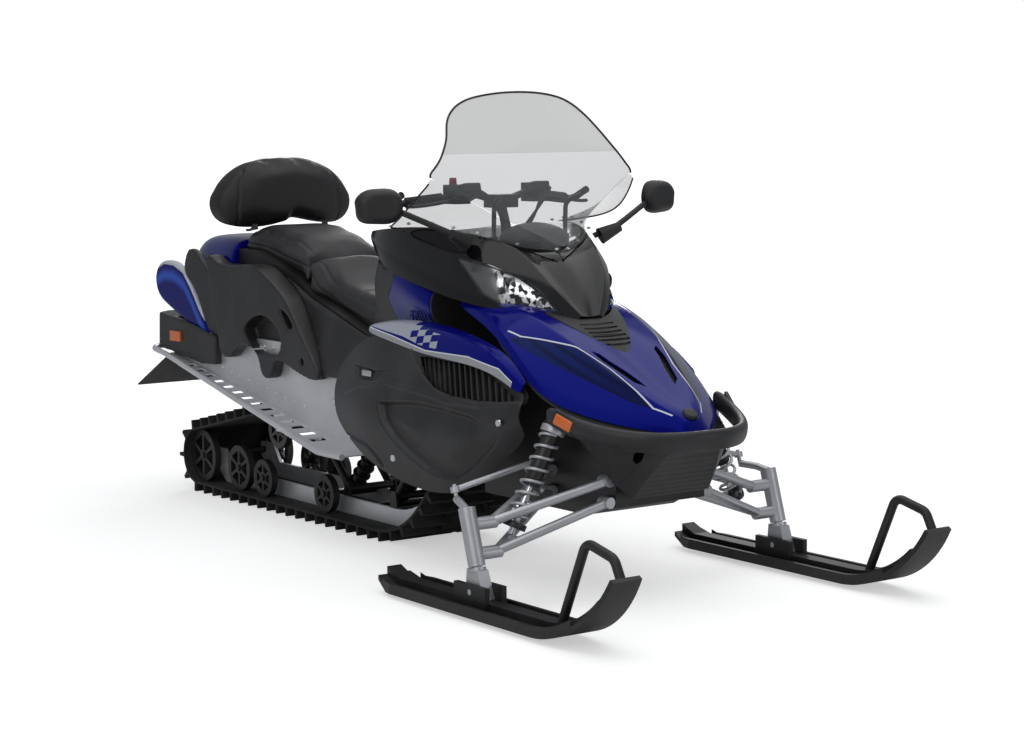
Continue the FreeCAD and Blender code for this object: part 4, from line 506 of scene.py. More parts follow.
smooth_out(cowl, 4)
settle(cowl)
thicken(cowl, COWL_WALL)
lens_stock = cowl.data.copy()
for sign in (-1, 1):
    carve(cowl, prism(LENS, 380, 800, "x", sign))
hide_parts("upper_cowl")

# Head lamps: a clear moulded lens over a faceted bright reflector whose facets are painted light or dark as
# painted reflections, in the cowl's opening.
clear = Finish("lamp_clear", (0.30, 0.31, 0.32), 0.03, 0.0, Alpha=0.06, Specular_IOR_Level=0.3)
facet = Finish("lamp_reflector", (0.62, 0.64, 0.67), 0.22, 1.0)
spot, x, y, z = facet.place()
cells = facet.node("ShaderNodeTexVoronoi", {"feature": "F1"}, spot, 74.0, out=1)
tone = facet.node("ShaderNodeSeparateColor", {}, cells)
facet.bump(tone, 1.0, 0.014)
# Painted reflection: each facet of the chrome reflector is painted near black or near white, standing for what
# that facet mirrors.
bright = facet.mix(tone.above(0.48, 0.03), (0.012, 0.012, 0.014), (0.95, 0.96, 0.98))
facet.set("Base Color", facet.mix(y.abs().above(0.196, 0.004), bright, (0.2, 0.205, 0.21)))
SIDES = ((-1, "right"), (1, "left"))
LAMP_MIDDLE = Vector((0.0, 0.0, 0.86))
LAMP_GAP = 0.012
LAMP_DEPTH = 0.0192
BOWLS = ((168, 858, 596, 30), (118, 806, 676, 22))


def ball(size, around=16, rings=8):
    """A ball, drawn out along each axis to half sizes in mm."""
    form = bmesh.new()
    bmesh.ops.create_uvsphere(form, u_segments=around, v_segments=rings, radius=1)
    bmesh.ops.scale(form, verts=form.verts, vec=Vector(size) / 1000)
    return form


for sign, side_name in SIDES:
    for label, finish in (("lens", clear), ("reflector", facet)):
        part = bpy.data.objects.new("lamp_%s_%s" % (label, side_name), lens_stock.copy())
        scene.collection.objects.link(part)
        dress(part, finish.material)
        carve(part, prism(LENS, 380, 800, "x", sign), "INTERSECT")
        if label == "reflector":
            for vert in part.data.vertices:
                vert.co += (LAMP_MIDDLE - vert.co).normalized() * LAMP_GAP
                vert.co.x -= LAMP_DEPTH
        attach(part, "root")
        if label == "lens":
            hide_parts("headlights")
    for y0, z0, x0, radius in BOWLS:
        bowl = ball((radius, radius, radius), 28, 14)
        bmesh.ops.bisect_plane(bowl, geom=bowl.verts[:] + bowl.edges[:] + bowl.faces[:], plane_co=(0, 0, 0),
                               plane_no=(1, 0, 0), clear_outer=True)
        piece("lamp_bowl_%s_%d" % (side_name, radius), placed(bowl, (x0, sign * y0, z0)), CHROME)

# Windshield: a clear sheet with a light smoke tint, folded back along two creases to its side
# wings and riveted to the cowl's rim. A black moulding runs round its free edge.
SHIELD_STATIONS = ((950, 632, 1.6e-3), (1016, 588, 1.5e-3), (1050, 562, 1.35e-3), (1110, 549, 7.8e-4),
                   (1170, 522, 3.7e-4), (1230, 497, 2.6e-4), (1290, 468, 3.3e-4), (1350, 437, 6.4e-4),
                   (1400, 412, 9e-4), (1450, 388, 1e-3))
SHIELD_ROWS = ((962, 368, 1176, 1.0), (1012, 372, 1186, 1.02), (1062, 352, 1203, 1.06), (1118, 330, 1231, 1.14),
               (1176, 308, 1261, 1.25), (1236, 289, 1291, 1.4), (1290, 275, 1320, 1.6), (1342, 256, 1351, 1.85),
               (1382, 224, 1380, 2.0), (1408, 196, 1395, 2.1), (1424, 168, 1406, 2.2))
FOLDS = ((368, 1176), (352, 1166.3), (310, 1140.9), (270, 1116.8), (230, 1092.6), (200, 1074.4), (165, 1053.3),
         (130, 1032.1), (100, 1014), (50, 988), (8, 966.2))
FEET = ((376, 472, 1160), (379, 466, 1152), (396, 422, 1110), (404, 346, 1050), (362, 240, 1030), (300, 146, 1016),
        (258, 307, 1028), (206, 468, 1003), (136, 538, 983), (100, 552, 965), (9, 622, 958))
SHIELD_RIVETS = ((150, 304, 1024), (230, 290, 1034), (312, 262, 1038), (392, 238, 1026), (470, 206, 1012),
                 (540, 112, 978), (610, 20, 962))
HALF_COLUMNS = 8
SHIELD_WALL = 0.003


def shield_x(y, z):
    """Where the sheet lies at a height and a distance from the middle."""
    for (z0, c0, w0), (z1, c1, w1) in zip(SHIELD_STATIONS, SHIELD_STATIONS[1:]):
        if z <= z1:
            share = (z - z0) / (z1 - z0)
            return c0 + (c1 - c0) * share - (w0 + (w1 - w0) * share) * y * y
    return c1 - w1 * y * y


tint = Finish("smoke_sheet", (0.2, 0.21, 0.22), 0.04, 0.0, Alpha=0.3)
sheet = bmesh.new()
rows = []
for centre_z, half, side_z, power in SHIELD_ROWS:
    line = []
    for step in range(-HALF_COLUMNS, HALF_COLUMNS + 1):
        u = step / HALF_COLUMNS
        y0 = half * u
        z0 = centre_z + (side_z - centre_z) * abs(u) ** power
        line.append(sheet.verts.new(Vector((shield_x(y0, z0), y0, z0)) / 1000))
    rows.append([sheet.edges.new(pair) for pair in zip(line, line[1:])])
for first, second in zip(rows, rows[1:]):
    bmesh.ops.bridge_loops(sheet, edges=first + second)
for sign in (-1, 1):
    top = [sheet.verts.new(Vector((shield_x(y0, z0), sign * y0, z0)) / 1000) for y0, z0 in FOLDS]
    foot = [sheet.verts.new(Vector((x0, sign * y0, z0)) / 1000) for y0, x0, z0 in FEET]
    folds = [sheet.edges.new(pair) for line in (top, foot) for pair in zip(line, line[1:])]
    bmesh.ops.bridge_loops(sheet, edges=folds)
bmesh.ops.recalc_face_normals(sheet, faces=sheet.faces)
shield = piece("windshield_sheet", sheet, tint.material)
smooth_out(shield, 2)
thicken(shield, SHIELD_WALL, 50)
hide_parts("windshield")


def tube(name, points, radius, material, body="root"):
    """A round bar, moulding or hose that follows a smooth line."""
    data = bpy.data.curves.new(name, "CURVE")
    data.dimensions = "3D"
    line = data.splines.new("NURBS")
    line.points.add(len(points) - 1)
    for place, point in zip(line.points, points):
        place.co = (*(Vector(point) / 1000), 1)
    line.order_u = 4
    line.use_endpoint_u = True
    line.resolution_u = 8
    data.bevel_depth = radius / 1000
    data.bevel_resolution = 3
    data.use_fill_caps = True
    obj = bpy.data.objects.new(name, data)
    scene.collection.objects.link(obj)
    data.materials.append(material)
    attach(obj, body)
    return obj


rim = []
for sign in (-1, 1):
    run = [(shield_x(h, z1), sign * h, z1) for z0, h, z1, power in SHIELD_ROWS]
    rim += run if sign < 0 else run[::-1]
crown, half, side_z, power = SHIELD_ROWS[-1]
top_row = []
for u in (-0.75, -0.5, -0.25, 0, 0.25, 0.5, 0.75):
    z0 = crown - (crown - side_z) * abs(u) ** power
    top_row.append((shield_x(half * u, z0), half * u, z0))
tube("shield_edge", rim[:len(SHIELD_ROWS)] + top_row + rim[len(SHIELD_ROWS):], 3.2, MATT_BLACK)
for sign, side_name in SIDES:
    tube("shield_foot_edge_" + side_name, [(x0, sign * y0, z0 - 1) for y0, x0, z0 in FEET], 2.6, MATT_BLACK)
WHITE_NYLON = grain("white_nylon", (0.7, 0.7, 0.7), 0.4, 200.0, 0.05)
for index, (x0, y0, z0) in enumerate(SHIELD_RIVETS):
    for sign, side_name in SIDES:
        rivet = placed(ball((6.2, 6.2, 4.34)), (x0, sign * y0, z0))
        piece("shield_rivet_%s_%d" % (side_name, index), rivet, WHITE_NYLON)


# Side panels: large matt moulded covers, each with a hollow behind its shoulder, raised ribs,
# a latch pocket and a louvred window; quarter-turn studs hold them to the frame.
PANEL_LINES = ((-150, ((300, 592), (319, 549), (334, 500), (332, 450), (322, 398))),
               (60, ((331, 700), (350, 610), (391, 500), (387, 415), (372, 327))),
               (200, ((337, 684), (362, 590), (398, 484), (392, 385), (373, 283))),
               (400, ((341, 660), (368, 572), (402, 464), (392, 358), (368, 250))),
               (600, ((336, 652), (362, 552), (394, 450), (379, 356), (352, 259))),
               (760, ((318, 630), (342, 552), (372, 490), (353, 438), (320, 382))),
               (850, ((306, 578), (324, 550), (340, 520), (327, 488), (304, 453))))
WINDOW = ((366, 648), (400, 604), (470, 567), (560, 551), (670, 547), (770, 551), (838, 560), (828, 574),
          (770, 604), (700, 632), (620, 642), (500, 646), (410, 650))
HOLLOW = [(192, 500), (300, 512), (409, 519), (540, 514), (654, 504), (730, 484), (770, 452), (740, 415),
          (693, 378), (640, 338), (577, 304), (500, 306), (435, 320), (350, 356), (270, 398), (213, 446)]
POCKET = [(-6, 592), (70, 592), (144, 588), (200, 598), (176, 574), (128, 556), (60, 556), (10, 566)]
STEP_EDGE = [(-48, 506), (60, 536), (210, 558), (404, 549), (555, 531), (698, 532)]
FOLD_EDGE = [(300, 684), (354, 632), (430, 590), (500, 562), (588, 540), (700, 536), (842, 548)]
GROOVE = [(-48, 368), (30, 366), (111, 359), (160, 334), (197, 306)]
GRILLE_EDGE = ((330, 668), (500, 668), (700, 652), (846, 590), (846, 548), (560, 536), (400, 580))
STUDS = ((790, 362, 495, 11), (273, 385, 337, 12), (-366, 206, 429, 12))
COVER_WALL = 0.004
GRILLE_WALL = 0.003
GRILLE_GAP = 16
GRILLE_SLATS = 17
SLAT_PITCH = 27
SHORTEST_SLAT = 12


def side_panel(sections, sign):
    """A side cover's outer face: each section runs from its top to its lower edge."""
    lines = [[(x, sign * y, z) for y, z in line] for x, line in sections]
    return bridged(lines, {}, Vector((0, sign, 0)))


def near_line(points, a, b):
    """How far a point lies from a line of points."""
    best = 1e9
    for (x0, z0), (x1, z1) in zip(points, points[1:]):
        run = (x1 - x0) ** 2 + (z1 - z0) ** 2
        share = max(0.0, min(1.0, ((a - x0) * (x1 - x0) + (b - z0) * (z1 - z0)) / run))
        best = min(best, math.hypot(a - x0 - share * (x1 - x0), b - z0 - share * (z1 - z0)))
    return best


def depth_inside(outline, a, b):
    """How far a point lies inside a closed outline, below 0 outside it."""
    inside = False
    for (x0, z0), (x1, z1) in zip(outline, outline[1:] + outline[:1]):
        if (z0 > b) != (z1 > b) and a < (x1 - x0) * (b - z0) / (z1 - z0) + x0:
            inside = not inside
    nearest = near_line(outline + outline[:1], a, b)
    return nearest if inside else -nearest


def ease(value):
    """A share from 0 to 1 with soft ends."""
    value = max(0.0, min(1.0, value))
    return value * value * (3 - 2 * value)


def push(obj, depth_at):
    """Move each point of a piece along its normal by a depth in mm."""
    form = bmesh.new()
    form.from_mesh(obj.data)
    form.normal_update()
    moves = [(vert, vert.normal * depth_at(vert.co * 1000, vert.normal) / 1000) for vert in form.verts]
    for vert, move in moves:
        vert.co += move
    form.to_mesh(obj.data)
    form.free()


def panel_depth(point, normal):
    """The side cover's relief: its hollow, latch pocket, two ridges and groove, in mm."""
    a, b = point.x, point.z
    inside = depth_inside(HOLLOW, a, b)
    hollow = -20 * ease((inside + 3) / 15) + 6 * ease((inside - 30) / 60)
    pocket = -12 * ease((depth_inside(POCKET, a, b) + 3) / 9)
    ridge = 4 * ease(1 - near_line(STEP_EDGE, a, b) / 12) + 4 * ease(1 - near_line(FOLD_EDGE, a, b) / 14)
    groove = -7 * ease(1 - near_line(GROOVE, a, b) / 9)
    return hollow + pocket + ridge + groove


def stud(foot, head, height, radius, around=32):
    """A short round stud in mm with rounded edges."""
    form = bmesh.new()
    bmesh.ops.create_cone(form, cap_ends=True, segments=around, radius1=foot / 1000, radius2=head / 1000,
                          depth=height / 1000)
    return soften(form, form.edges[:], radius)


for sign, side_name in SIDES:
    cover = piece("side_cover_" + side_name, side_panel(PANEL_LINES, sign), DARK_PLASTIC)
    smooth_out(cover, 5)
    settle(cover)
    push(cover, panel_depth)
    thicken(cover, COVER_WALL, 50)
    carve(cover, prism(WINDOW, 250, 450, "y", sign), angle=50)
    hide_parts("side_panel_" + side_name)
    behind = [(x0, [(y0 - GRILLE_GAP, z0) for y0, z0 in line]) for x0, line in PANEL_LINES[2:]]
    mesh_plate = piece("grille_back_" + side_name, side_panel(behind, sign), MATT_BLACK)
    smooth_out(mesh_plate, 2)
    thicken(mesh_plate, GRILLE_WALL, 50)
    carve(mesh_plate, prism(GRILLE_EDGE, 250, 450, "y", sign), "INTERSECT", 50)
    if sign > 0:
        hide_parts("grilles")
    for index in range(GRILLE_SLATS):
        x0 = 384 + index * SLAT_PITCH
        low = 548 + 40 * ease((470 - x0) / 120)
        high = 644 - 0.55 * max(0, x0 - 650)
        if high - low < SHORTEST_SLAT:
            continue
        out = 343 - 0.03 * abs(x0 - 560) - 0.08 * max(0, x0 - 640)
        slat = block((6, 14, high - low + 16), 1.2)
        placed(slat, (x0 + 8, sign * out, (low + high) / 2), Y=-24, X=14 * sign)
        piece("grille_slat_%s_%02d" % (side_name, index), slat, MATT_BLACK)
    for index, (x0, y0, z0, radius) in enumerate(STUDS):
        turn = placed(stud(radius, radius * 0.86, 6, 0.8), (x0, sign * (y0 + 1), z0), X=-90 * sign)
        piece("quarter_turn_%s_%d" % (side_name, index), turn, CHROME, smooth=False)
    latch = placed(block((52, 6, 18), 2), (84, sign * 356, 574))
    piece("panel_latch_" + side_name, latch, SILVER)

# Upper panels: painted covers between the hood's edge and the side panels, with a chequered
# silver flash at the rear, and a grey band under a pale line along the lower edge.
UPPER_LINES = ((60, ((302, 724), (319, 721), (330, 712), (335, 696))),
               (180, ((288, 746), (315, 742), (333, 724), (342, 684))),
               (380, ((284, 746), (311, 741), (334, 720), (346, 654))),
               (600, ((286, 718), (309, 712), (330, 696), (342, 648))),
               (740, ((288, 680), (307, 674), (323, 660), (332, 624))),
               (840, ((298, 612), (306, 608), (315, 598), (321, 572))))
UPPER_WALL = 0.0035
UPPER_RAIL = ((0.060, 0.706), (0.200, 0.690), (0.390, 0.660), (0.600, 0.658), (0.740, 0.634), (0.840, 0.578))
BAND_HEIGHT = 0.0075
BAND_END = 0.80
flash = blue_paint("upper_panel_paint")
spot, x, y, z = flash.place()
hue = flaked(flash, spot)
upper_edge = flash.follow(x, ((0.100, 0.752), (0.300, 0.744), (0.403, 0.722), (0.500, 0.712)))
lower_edge = flash.follow(x, ((0.080, 0.716), (0.260, 0.700), (0.351, 0.682), (0.437, 0.676), (0.500, 0.700)))
down = y.abs() * 0.9 - z
column = (x * 13.9 - 0.17).sum("FRACT").above(0.5, 0.004)
row = ((down + x * 0.2 + 0.52) * 19.0).sum("FRACT").above(0.5, 0.004)
square = (column - row).abs()
solid = x.below(0.300, 0.0006)
badge = z.below(upper_edge, 0.0006) * z.above(lower_edge, 0.0006) * x.below(0.444, 0.0006)
hue = flash.mix(badge * (square + solid).min(1.0), hue, (0.42, 0.44, 0.52))
rail = flash.follow(x, UPPER_RAIL)
hue = flash.mix((z - rail).below(BAND_HEIGHT) * x.below(BAND_END), hue, (0.34, 0.35, 0.36))
hue = flash.mix((z - rail - BAND_HEIGHT).abs().below(0.0016) * x.below(BAND_END), hue, (0.75, 0.77, 0.8))
flash.set("Base Color", hue)
for sign, side_name in SIDES:
    cover = piece("upper_cover_" + side_name, side_panel(UPPER_LINES, sign), flash.material)
    smooth_out(cover, 4)
    thicken(cover, UPPER_WALL, 50)
    if sign > 0:
        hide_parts("upper_panels")


# Moulded covers with soft edges: tail, fins, knee covers, deflectors, pods, skirts, lower rear cowl,
# nose and switch housings. Each is a rounded copy of its solid in paint or grained plastic.
KEPT_SHARE = 0.45
KNEE_PROUD = 0.0014


def rounded(name, node, material, grid, rounds, body="root"):
    """A soft-edged copy of a CAD piece that stands for it."""
    form = bmesh.new()
    form.from_mesh(nodes[node].data)
    bmesh.ops.remove_doubles(form, verts=form.verts, dist=0.00002)
    obj = piece(name, form, material, body)
    cells = obj.modifiers.new("cells", "REMESH")
    cells.mode = "VOXEL"
    cells.voxel_size = grid
    cells.use_smooth_shade = True
    relax = obj.modifiers.new("relax", "SMOOTH")
    relax.factor = 0.5
    relax.iterations = rounds
    thin = obj.modifiers.new("thin", "DECIMATE")
    thin.ratio = KEPT_SHARE
    settle(obj)
    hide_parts(node)
    return obj


TAIL_SWEEP = ((-1.48, 0.880), (-1.36, 0.862), (-1.20, 0.800), (-1.06, 0.770))
TAIL_LINE = ((-1.48, 0.850), (-1.30, 0.812), (-1.06, 0.700))
tail = blue_paint("tail_paint")
spot, x, y, z = tail.place()
hue = tail.mix((z - tail.follow(x, TAIL_SWEEP)).abs().below(0.009, 0.001), BLUE, (0.05, 0.14, 0.42))
hue = tail.mix((z - tail.follow(x, TAIL_LINE)).abs().below(0.0035, 0.001), hue, (0.42, 0.52, 0.66))
tail.set("Base Color", hue)
fin = blue_paint("fin_paint")
spot, x, y, z = fin.place()
rim_line = fin.follow(x, ((-1.604, 0.790), (-1.586, 0.818), (-1.531, 0.838), (-1.458, 0.836), (-1.385, 0.812),
                          (-1.330, 0.760), (-1.270, 0.690), (-1.170, 0.592)))
# Painted highlight: the broad soft lighter-blue band under the upper rim stands for the gloss's reflection.
hue = fin.mix((z - rim_line + 0.052).abs().below(0.016, 0.012), BLUE, (0.03, 0.10, 0.55))
hue = fin.mix((z - rim_line + 0.012).above(0.0, 0.001), hue, (0.6, 0.62, 0.66))
fin.set("Base Color", hue)
knee = blue_paint("knee_paint")
knee.set("Base Color", flaked(knee, knee.place()[0]))
for name, node, material, slot, grid, rounds in (
        ("tail_cover", "tail_cowl", tail.material, "blue_paint", 0.006, 10),
        ("tail_side_fins", "tail_fins", fin.material, "blue_paint", 0.0045, 5),
        ("knee_covers", "knee_panels", knee.material, "blue_paint", 0.003, 10),
        ("wind_deflectors", "deflectors", DARK_PLASTIC, "dark_plastic", 0.0045, 4),
        ("hold_pods", "passenger_pods", DARK_PLASTIC, "dark_plastic", 0.0055, 3),
        ("seat_side_skirts", "seat_skirts", DARK_PLASTIC, "dark_plastic", 0.005, 4),
        ("lower_rear_cover", "rear_cowl", DARK_PLASTIC, "dark_plastic", 0.005, 4),
        ("nose_cover", "nose_cowl", DARK_PLASTIC, "dark_plastic", 0.0035, 3)):
    cover = rounded(name, node, material, grid, rounds)
    if name == "knee_covers":
        for vert in cover.data.vertices:
            vert.co.y += math.copysign(KNEE_PROUD, vert.co.y)
rounded("switch_housings", "switch_pods", MATT_BLACK, 0.0018, 3, "handlebar")

# Tail lamp, reflectors and flap: a red lens, amber prisms on the lower rear cover and, in dark
# frames, beside the nose, and a snow flap of thick rubber sheet.
amber = Finish("amber_prisms", (0.85, 0.16, 0.01), 0.18, 0.0, Coat_Weight=0.8)
spot, x, y, z = amber.place()
grid = ((x * 260.0).sum("FRACT") - 0.5).abs() + ((z * 260.0).sum("FRACT") - 0.5).abs()
amber.bump(grid, 0.5, 0.001)
amber.set("Base Color", amber.mix(grid, (0.9, 0.2, 0.01), (0.6, 0.08, 0.004)))
dress(nodes["reflectors"], amber.material)
red = Finish("tail_lamp_red", (0.4, 0.006, 0.006), 0.12, 0.0, Coat_Weight=1.0)
spot, x, y, z = red.place()
red.bump((y * 160.0).sum("FRACT"), 0.3, 0.001)
dress(nodes["tail_lamp"], red.material)
dress(nodes["snow_flap"], grain("flap_rubber", (0.05, 0.05, 0.052), 0.6, 300.0, 0.4, 0.3))
for sign, side_name in SIDES:
    for label, material, slot, size_mm in (("frame", MATT_BLACK, "black_plastic", (78, 12, 50)),
                                           ("lens", amber.material, "amber_lens", (58, 18, 32))):
        prisms = placed(block(size_mm, 3), (1012, sign * 298, 514), Y=24, Z=-23.5 * sign)
        piece("front_reflector_%s_%s" % (label, side_name), prisms, material)

# Front bumper: a thick moulded lip that runs round the nose under the hood, bolted to the frame.
BOW = ((936, -306, 540), (1020, -290, 512), (1110, -254, 490), (1190, -204, 478), (1246, -140, 474),
       (1288, -60, 476), (1296, 0, 478))
LIP = ((-18, 16), (0, 26), (15, 14), (13, -18), (2, -40), (-18, -30))
lip = bmesh.new()
rings = []
stations = [Vector(p) for p in BOW] + [Vector((a, -b, c)) for a, b, c in BOW[-2::-1]]
for index, point in enumerate(stations):
    along = stations[min(index + 1, len(stations) - 1)] - stations[max(index - 1, 0)]
    out = Vector((-along.y, along.x, 0)).normalized() * -1
    rings.append([lip.verts.new((point + out * o + Vector((0, 0, rise))) / 1000) for o, rise in LIP])
for first, second in zip(rings, rings[1:]):
    for a, b, c, d in zip(first, first[1:] + first[:1], second[1:] + second[:1], second):
        lip.faces.new((a, b, c, d))
for ring in (rings[0], rings[-1]):
    lip.faces.new(ring)
bmesh.ops.recalc_face_normals(lip, faces=lip.faces)
bumper = piece("front_lip", lip, DARK_PLASTIC)
smooth_out(bumper, 3)
settle(bumper)
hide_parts("front_bumper")

# Front shocks: a black damper in a wound silver spring between two caps, with a bright collar,
# pinned between the frame and the lower arms.
SHOCK_FOOT = (912, 415, 191.4)
SHOCK_TOP = (942, 250, 545)
COIL_TURNS = 7.5
COIL_STEPS = 16
COIL_RADIUS = 0.0305
# Each turned part: its name, where it starts and ends along the damper, radius and finish.
SHOCK_PARTS = (("rod", 0.03, 0.5, 0.010, CHROME), ("body", 0.4, 0.9, 0.0235, BLACK_STEEL),
               ("foot_cap", 0.08, 0.125, 0.034, BLACK_STEEL), ("collar", 0.80, 0.85, 0.0355, SILVER),
               ("top_cap", 0.85, 0.9, 0.032, BLACK_STEEL), ("top_eye", 0.9, 0.985, 0.0125, BLACK_STEEL))
for sign, side_name in SIDES:
    foot, top = [Vector((x0, sign * y0, z0)) / 1000 for x0, y0, z0 in (SHOCK_FOOT, SHOCK_TOP)]
    run = top - foot
    turn = run.to_track_quat("Z", "Y").to_matrix().to_4x4()
    for label, a, b, radius, material in SHOCK_PARTS:
        rod = bmesh.new()
        bmesh.ops.create_cone(rod, cap_ends=True, segments=40, radius1=radius, radius2=radius,
                              depth=run.length * (b - a))
        soften(rod, [e for e in rod.edges if len(e.link_faces) == 2 and e.calc_face_angle() > 1], 1.5)
        bmesh.ops.transform(rod, matrix=Matrix.Translation(foot + run * (a + b) / 2) @ turn, verts=rod.verts)
        part = piece("shock_%s_%s" % (label, side_name), rod, material)
        settle(part, 35)
        if sign > 0 and label == "body":
            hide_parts("shocks")
    coil = []
    for step in range(int(COIL_TURNS * COIL_STEPS) + 1):
        share = step / (COIL_TURNS * COIL_STEPS)
        angle = step / COIL_STEPS * math.tau
        around = Vector((COIL_RADIUS * math.cos(angle), COIL_RADIUS * math.sin(angle), 0))
        coil.append(tuple((Matrix.Translation(foot + run * (0.13 + 0.665 * share)) @ turn @ around) * 1000))
    tube("shock_spring_" + side_name, coil, 4.6, SILVER)

# Seats and backrest: foam under a stretched vinyl cover, darker on top than along the sides, with
# sewn seams. Each is swelled by pressure in a cloth simulation, then its seams are drawn in.
def vinyl_cover(name, color):
    """Grained vinyl, with the finish's number across the machine."""
    finish = Finish(name, color, 0.5)
    spot, x, y, z = finish.place()
    leather = finish.node("ShaderNodeTexVoronoi", {"feature": "F1"}, spot, 520.0)
    finish.set("Roughness", finish.noise(spot, 9.0, 3.0) * 0.16 + 0.44)
    finish.bump(leather, 0.35, 0.0008)
    return finish, y


vinyl, y = vinyl_cover("seat_vinyl", (0.03, 0.03, 0.032))
vinyl.set("Base Color", vinyl.mix(y.abs().above(0.142, 0.004), (0.028, 0.028, 0.03), (0.042, 0.042, 0.045)))
black_vinyl, y = vinyl_cover("backrest_vinyl", (0.010, 0.010, 0.011))
SEAT_LINE = ((-1060, 900), (-937, 899), (-657, 818), (-568, 769), (-237, 670), (-62, 640))
SEAT_TOPS = ((-1056, 940), (-1030, 962), (-950, 973), (-820, 968), (-700, 942), (-612, 902), (-560, 888),
             (-500, 840), (-420, 794), (-300, 764), (-200, 750), (-62, 735))
FOAM_INSET = 0.005
FOAM_CELL = 0.0065
MOST_SWELL = 0.022
PRESSURE = 4
LAST_FRAME = 20


def height_on(line, a):
    """The height of a line of points at a place along it."""
    for (a0, b0), (a1, b1) in zip(line, line[1:]):
        if a <= a1:
            return b0 + (b1 - b0) * (a - a0) / (a1 - a0)
    return line[-1][1]


def crown_seat(co):
    """Round a seat block's shoulders and draw its sides in."""
    a, b, c = co * 1000
    low = height_on(SEAT_LINE, a)
    share = max(0.0, min(1.0, (c - low) / (height_on(SEAT_TOPS, a) - low)))
    aside = min(1.0, abs(b) / 165)
    c -= 26 * share * aside ** 5 + 5 * share * (1 - aside * aside)
    b *= 1 - 0.05 * math.sin(share * math.pi) - 0.03 * share
    return Vector((a, b, c)) / 1000


def crown_back(co):
    """Round the backrest's face and hollow it a little where the back lies."""
    a, b, c = co * 1000
    aside = min(1.0, abs(b) / 280)
    front = max(0.0, (a + 1046) / 64)
    a -= front * (16 * aside ** 3 + 5 * (1 - aside * aside))
    return Vector((a, b, c)) / 1000


def cushion(name, node, shape, material):
    """A stuffed copy of a CAD block: remeshed, crowned, swelled by pressure and refined."""
    form = bmesh.new()
    form.from_mesh(nodes[node].data)
    bmesh.ops.remove_doubles(form, verts=form.verts, dist=0.00002)
    low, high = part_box(node)
    middle = (low + high) / 2
    for vert in form.verts:
        for axis in range(3):
            vert.co[axis] += FOAM_INSET if vert.co[axis] < middle[axis] else -FOAM_INSET
    obj = piece(name, form, material)
    cells = obj.modifiers.new("cells", "REMESH")
    cells.mode = "VOXEL"
    cells.voxel_size = FOAM_CELL
    relax = obj.modifiers.new("relax", "SMOOTH")
    relax.factor = 0.5
    relax.iterations = 6
    settle(obj)
    for vert in obj.data.vertices:
        vert.co = shape(vert.co)
    start = [vert.co.copy() for vert in obj.data.vertices]
    stuffing = obj.modifiers.new("stuffing", "CLOTH")
    stuffing.settings.use_pressure = True
    stuffing.settings.uniform_pressure_force = PRESSURE
    stuffing.settings.effector_weights.gravity = 0
    stuffing.settings.quality = 5
    stuffing.point_cache.frame_start = 1
    stuffing.point_cache.frame_end = LAST_FRAME
    for frame_number in range(1, LAST_FRAME + 1):
        scene.frame_set(frame_number)
    settle(obj)
    scene.frame_set(1)
    for vert, before in zip(obj.data.vertices, start):
        move = vert.co - before
        if move.length > MOST_SWELL:
            vert.co = before + move * (MOST_SWELL / move.length)
    taut = obj.modifiers.new("taut", "SMOOTH")
    taut.factor = 0.5
    taut.iterations = 24
    settle(obj)
    smooth_out(obj, 1)
    settle(obj)
    obj.data.polygons.foreach_set("use_smooth", [True] * len(obj.data.polygons))
    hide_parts(node)
    return obj


def sew(obj, lines, view, depth=3.2, wide=9.0):
    """Draw seams into a cushion along lines seen from the side, from above or from the front."""
    first, second, facing = {"side": (0, 2, 1), "top": (0, 1, 2), "front": (1, 2, 0)}[view]

    def seam_depth(point, normal):
        if abs(normal[facing]) < 0.35 or (view != "side" and normal[facing] < 0):
            return 0.0
        reach = min(near_line(line, point[first], point[second]) for line in lines)
        return -depth * ease(1 - reach / wide)

    push(obj, seam_depth)


rider = cushion("rider_cushion", "rider_seat", crown_seat, vinyl.material)
sew(rider, [[(-640, 872), (-590, 830), (-540, 786), (-420, 730), (-236, 686), (-40, 668)]], "side")
sew(rider, [[(-640, s * 126), (-420, s * 132), (-40, s * 118)] for s in (-1, 1)]
    + [[(-330, y0) for y0 in (-126, 0, 126)], [(-560, y0) for y0 in (-126, 0, 126)]], "top")
passenger = cushion("passenger_cushion", "passenger_seat", crown_seat, vinyl.material)
sew(passenger, [[(-1080, 925), (-921, 908), (-655, 862), (-600, 850)]], "side")
sew(passenger, [[(-1080, s * 112), (-820, s * 130), (-590, s * 122)] for s in (-1, 1)], "top")
rest = cushion("backrest_cushion", "backrest_pad", crown_back, black_vinyl.material)
sew(rest, [[(s * 186, 940), (s * 206, 1040), (s * 196, 1130), (s * 140, 1240)] for s in (-1, 1)], "front", 4.0)

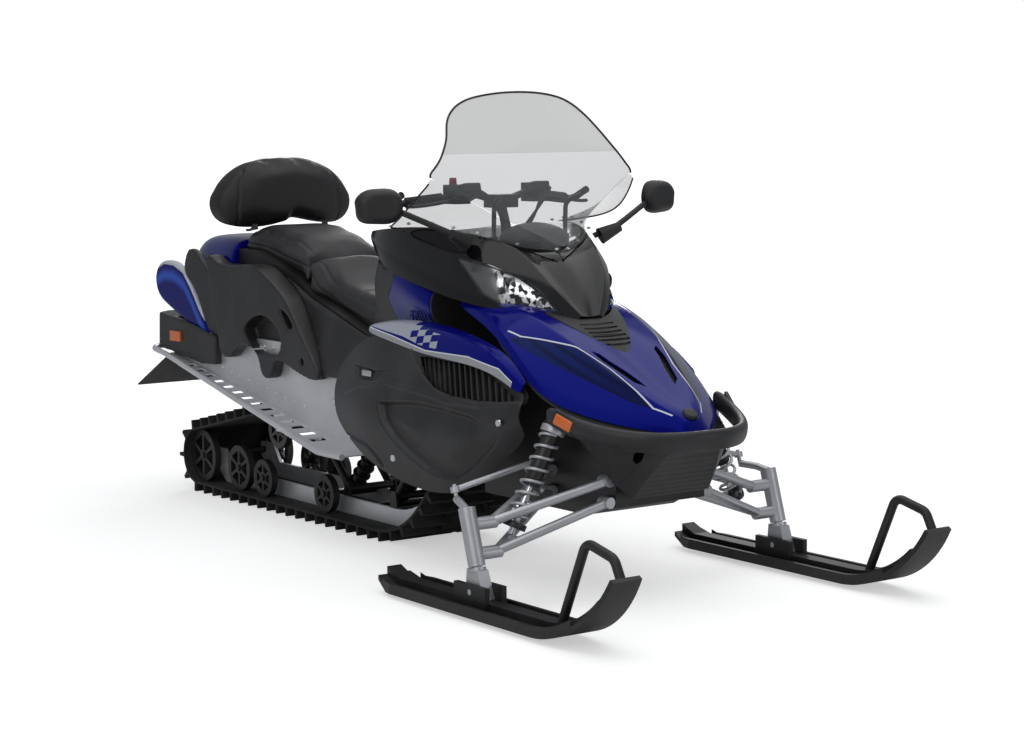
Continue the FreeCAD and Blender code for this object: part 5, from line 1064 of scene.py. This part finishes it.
# Handlebar fittings: the fluid reservoir and levers at both grips, a red stop button on the right
# housing, and hoses that gather at the column. The instruments' black hump lies under the glass.
for sign, side_name in SIDES:
    tank = placed(block((46, 62, 34), 6, 3), (316, sign * 128, 1134), Y=-12)
    piece("reservoir_" + side_name, tank, MATT_BLACK, "handlebar")
    tube("lever_" + side_name, [(300, sign * 156, 1106), (322, sign * 190, 1104), (318, sign * 250, 1092),
                                (296, sign * 318, 1086), (292, sign * 334, 1088)], 5.5, BLACK_STEEL,
         "handlebar")
    for index, (reach, fall) in enumerate(((0, 0), (16, 10), (30, 22))):
        tube("bar_hose_%s_%d" % (side_name, index),
             [(320, sign * (150 - reach * 0.5), 1118 - fall),
              (368 - reach * 0.4, sign * (150 - reach), 1150 - fall),
              (404 - reach * 0.6, sign * (96 - reach * 0.6), 1110 - fall),
              (392, sign * (52 + reach * 0.3), 1052),
              (366, sign * (30 + reach * 0.4), 1010 - fall * 0.4)], 4.2, RUBBER, "handlebar")
stop_red = grain("stop_button_red", (0.5, 0.01, 0.008), 0.35, 300.0, 0.05)
button = placed(stud(12, 10.5, 22, 1.5), (262, -150, 1158))
piece("stop_button", button, stop_red, "handlebar")
hump = placed(ball((85, 115, 52), 40, 20), (470, 0, 984))
piece("dash_hump", hump, MATT_BLACK)

# Fixings: two rows of rivets along each side of the tunnel, hammered flat from outside, and the
# quarter-turn stud that holds the hood's tip.
RIVET_ROWS = (((-1440, 576), (-760, 576), 12), ((-1380, 516), (-560, 396), 14))
RIVET_SIDE = 206.6
for sign, side_name in SIDES:
    for row, ((x0, z0), (x1, z1), count) in enumerate(RIVET_ROWS):
        for index in range(count):
            share = index / (count - 1)
            spot = (x0 + (x1 - x0) * share, sign * RIVET_SIDE, z0 + (z1 - z0) * share)
            rivet = placed(ball((7.5, 3.375, 7.5), 14), spot)
            piece("tunnel_rivet_%s_%d_%02d" % (side_name, row, index), rivet, ALUMINIUM)
nose_stud = placed(stud(24, 20, 10, 1.5, 36), (1196, 0, 533), Y=30)
piece("nose_stud", nose_stud, MATT_BLACK)
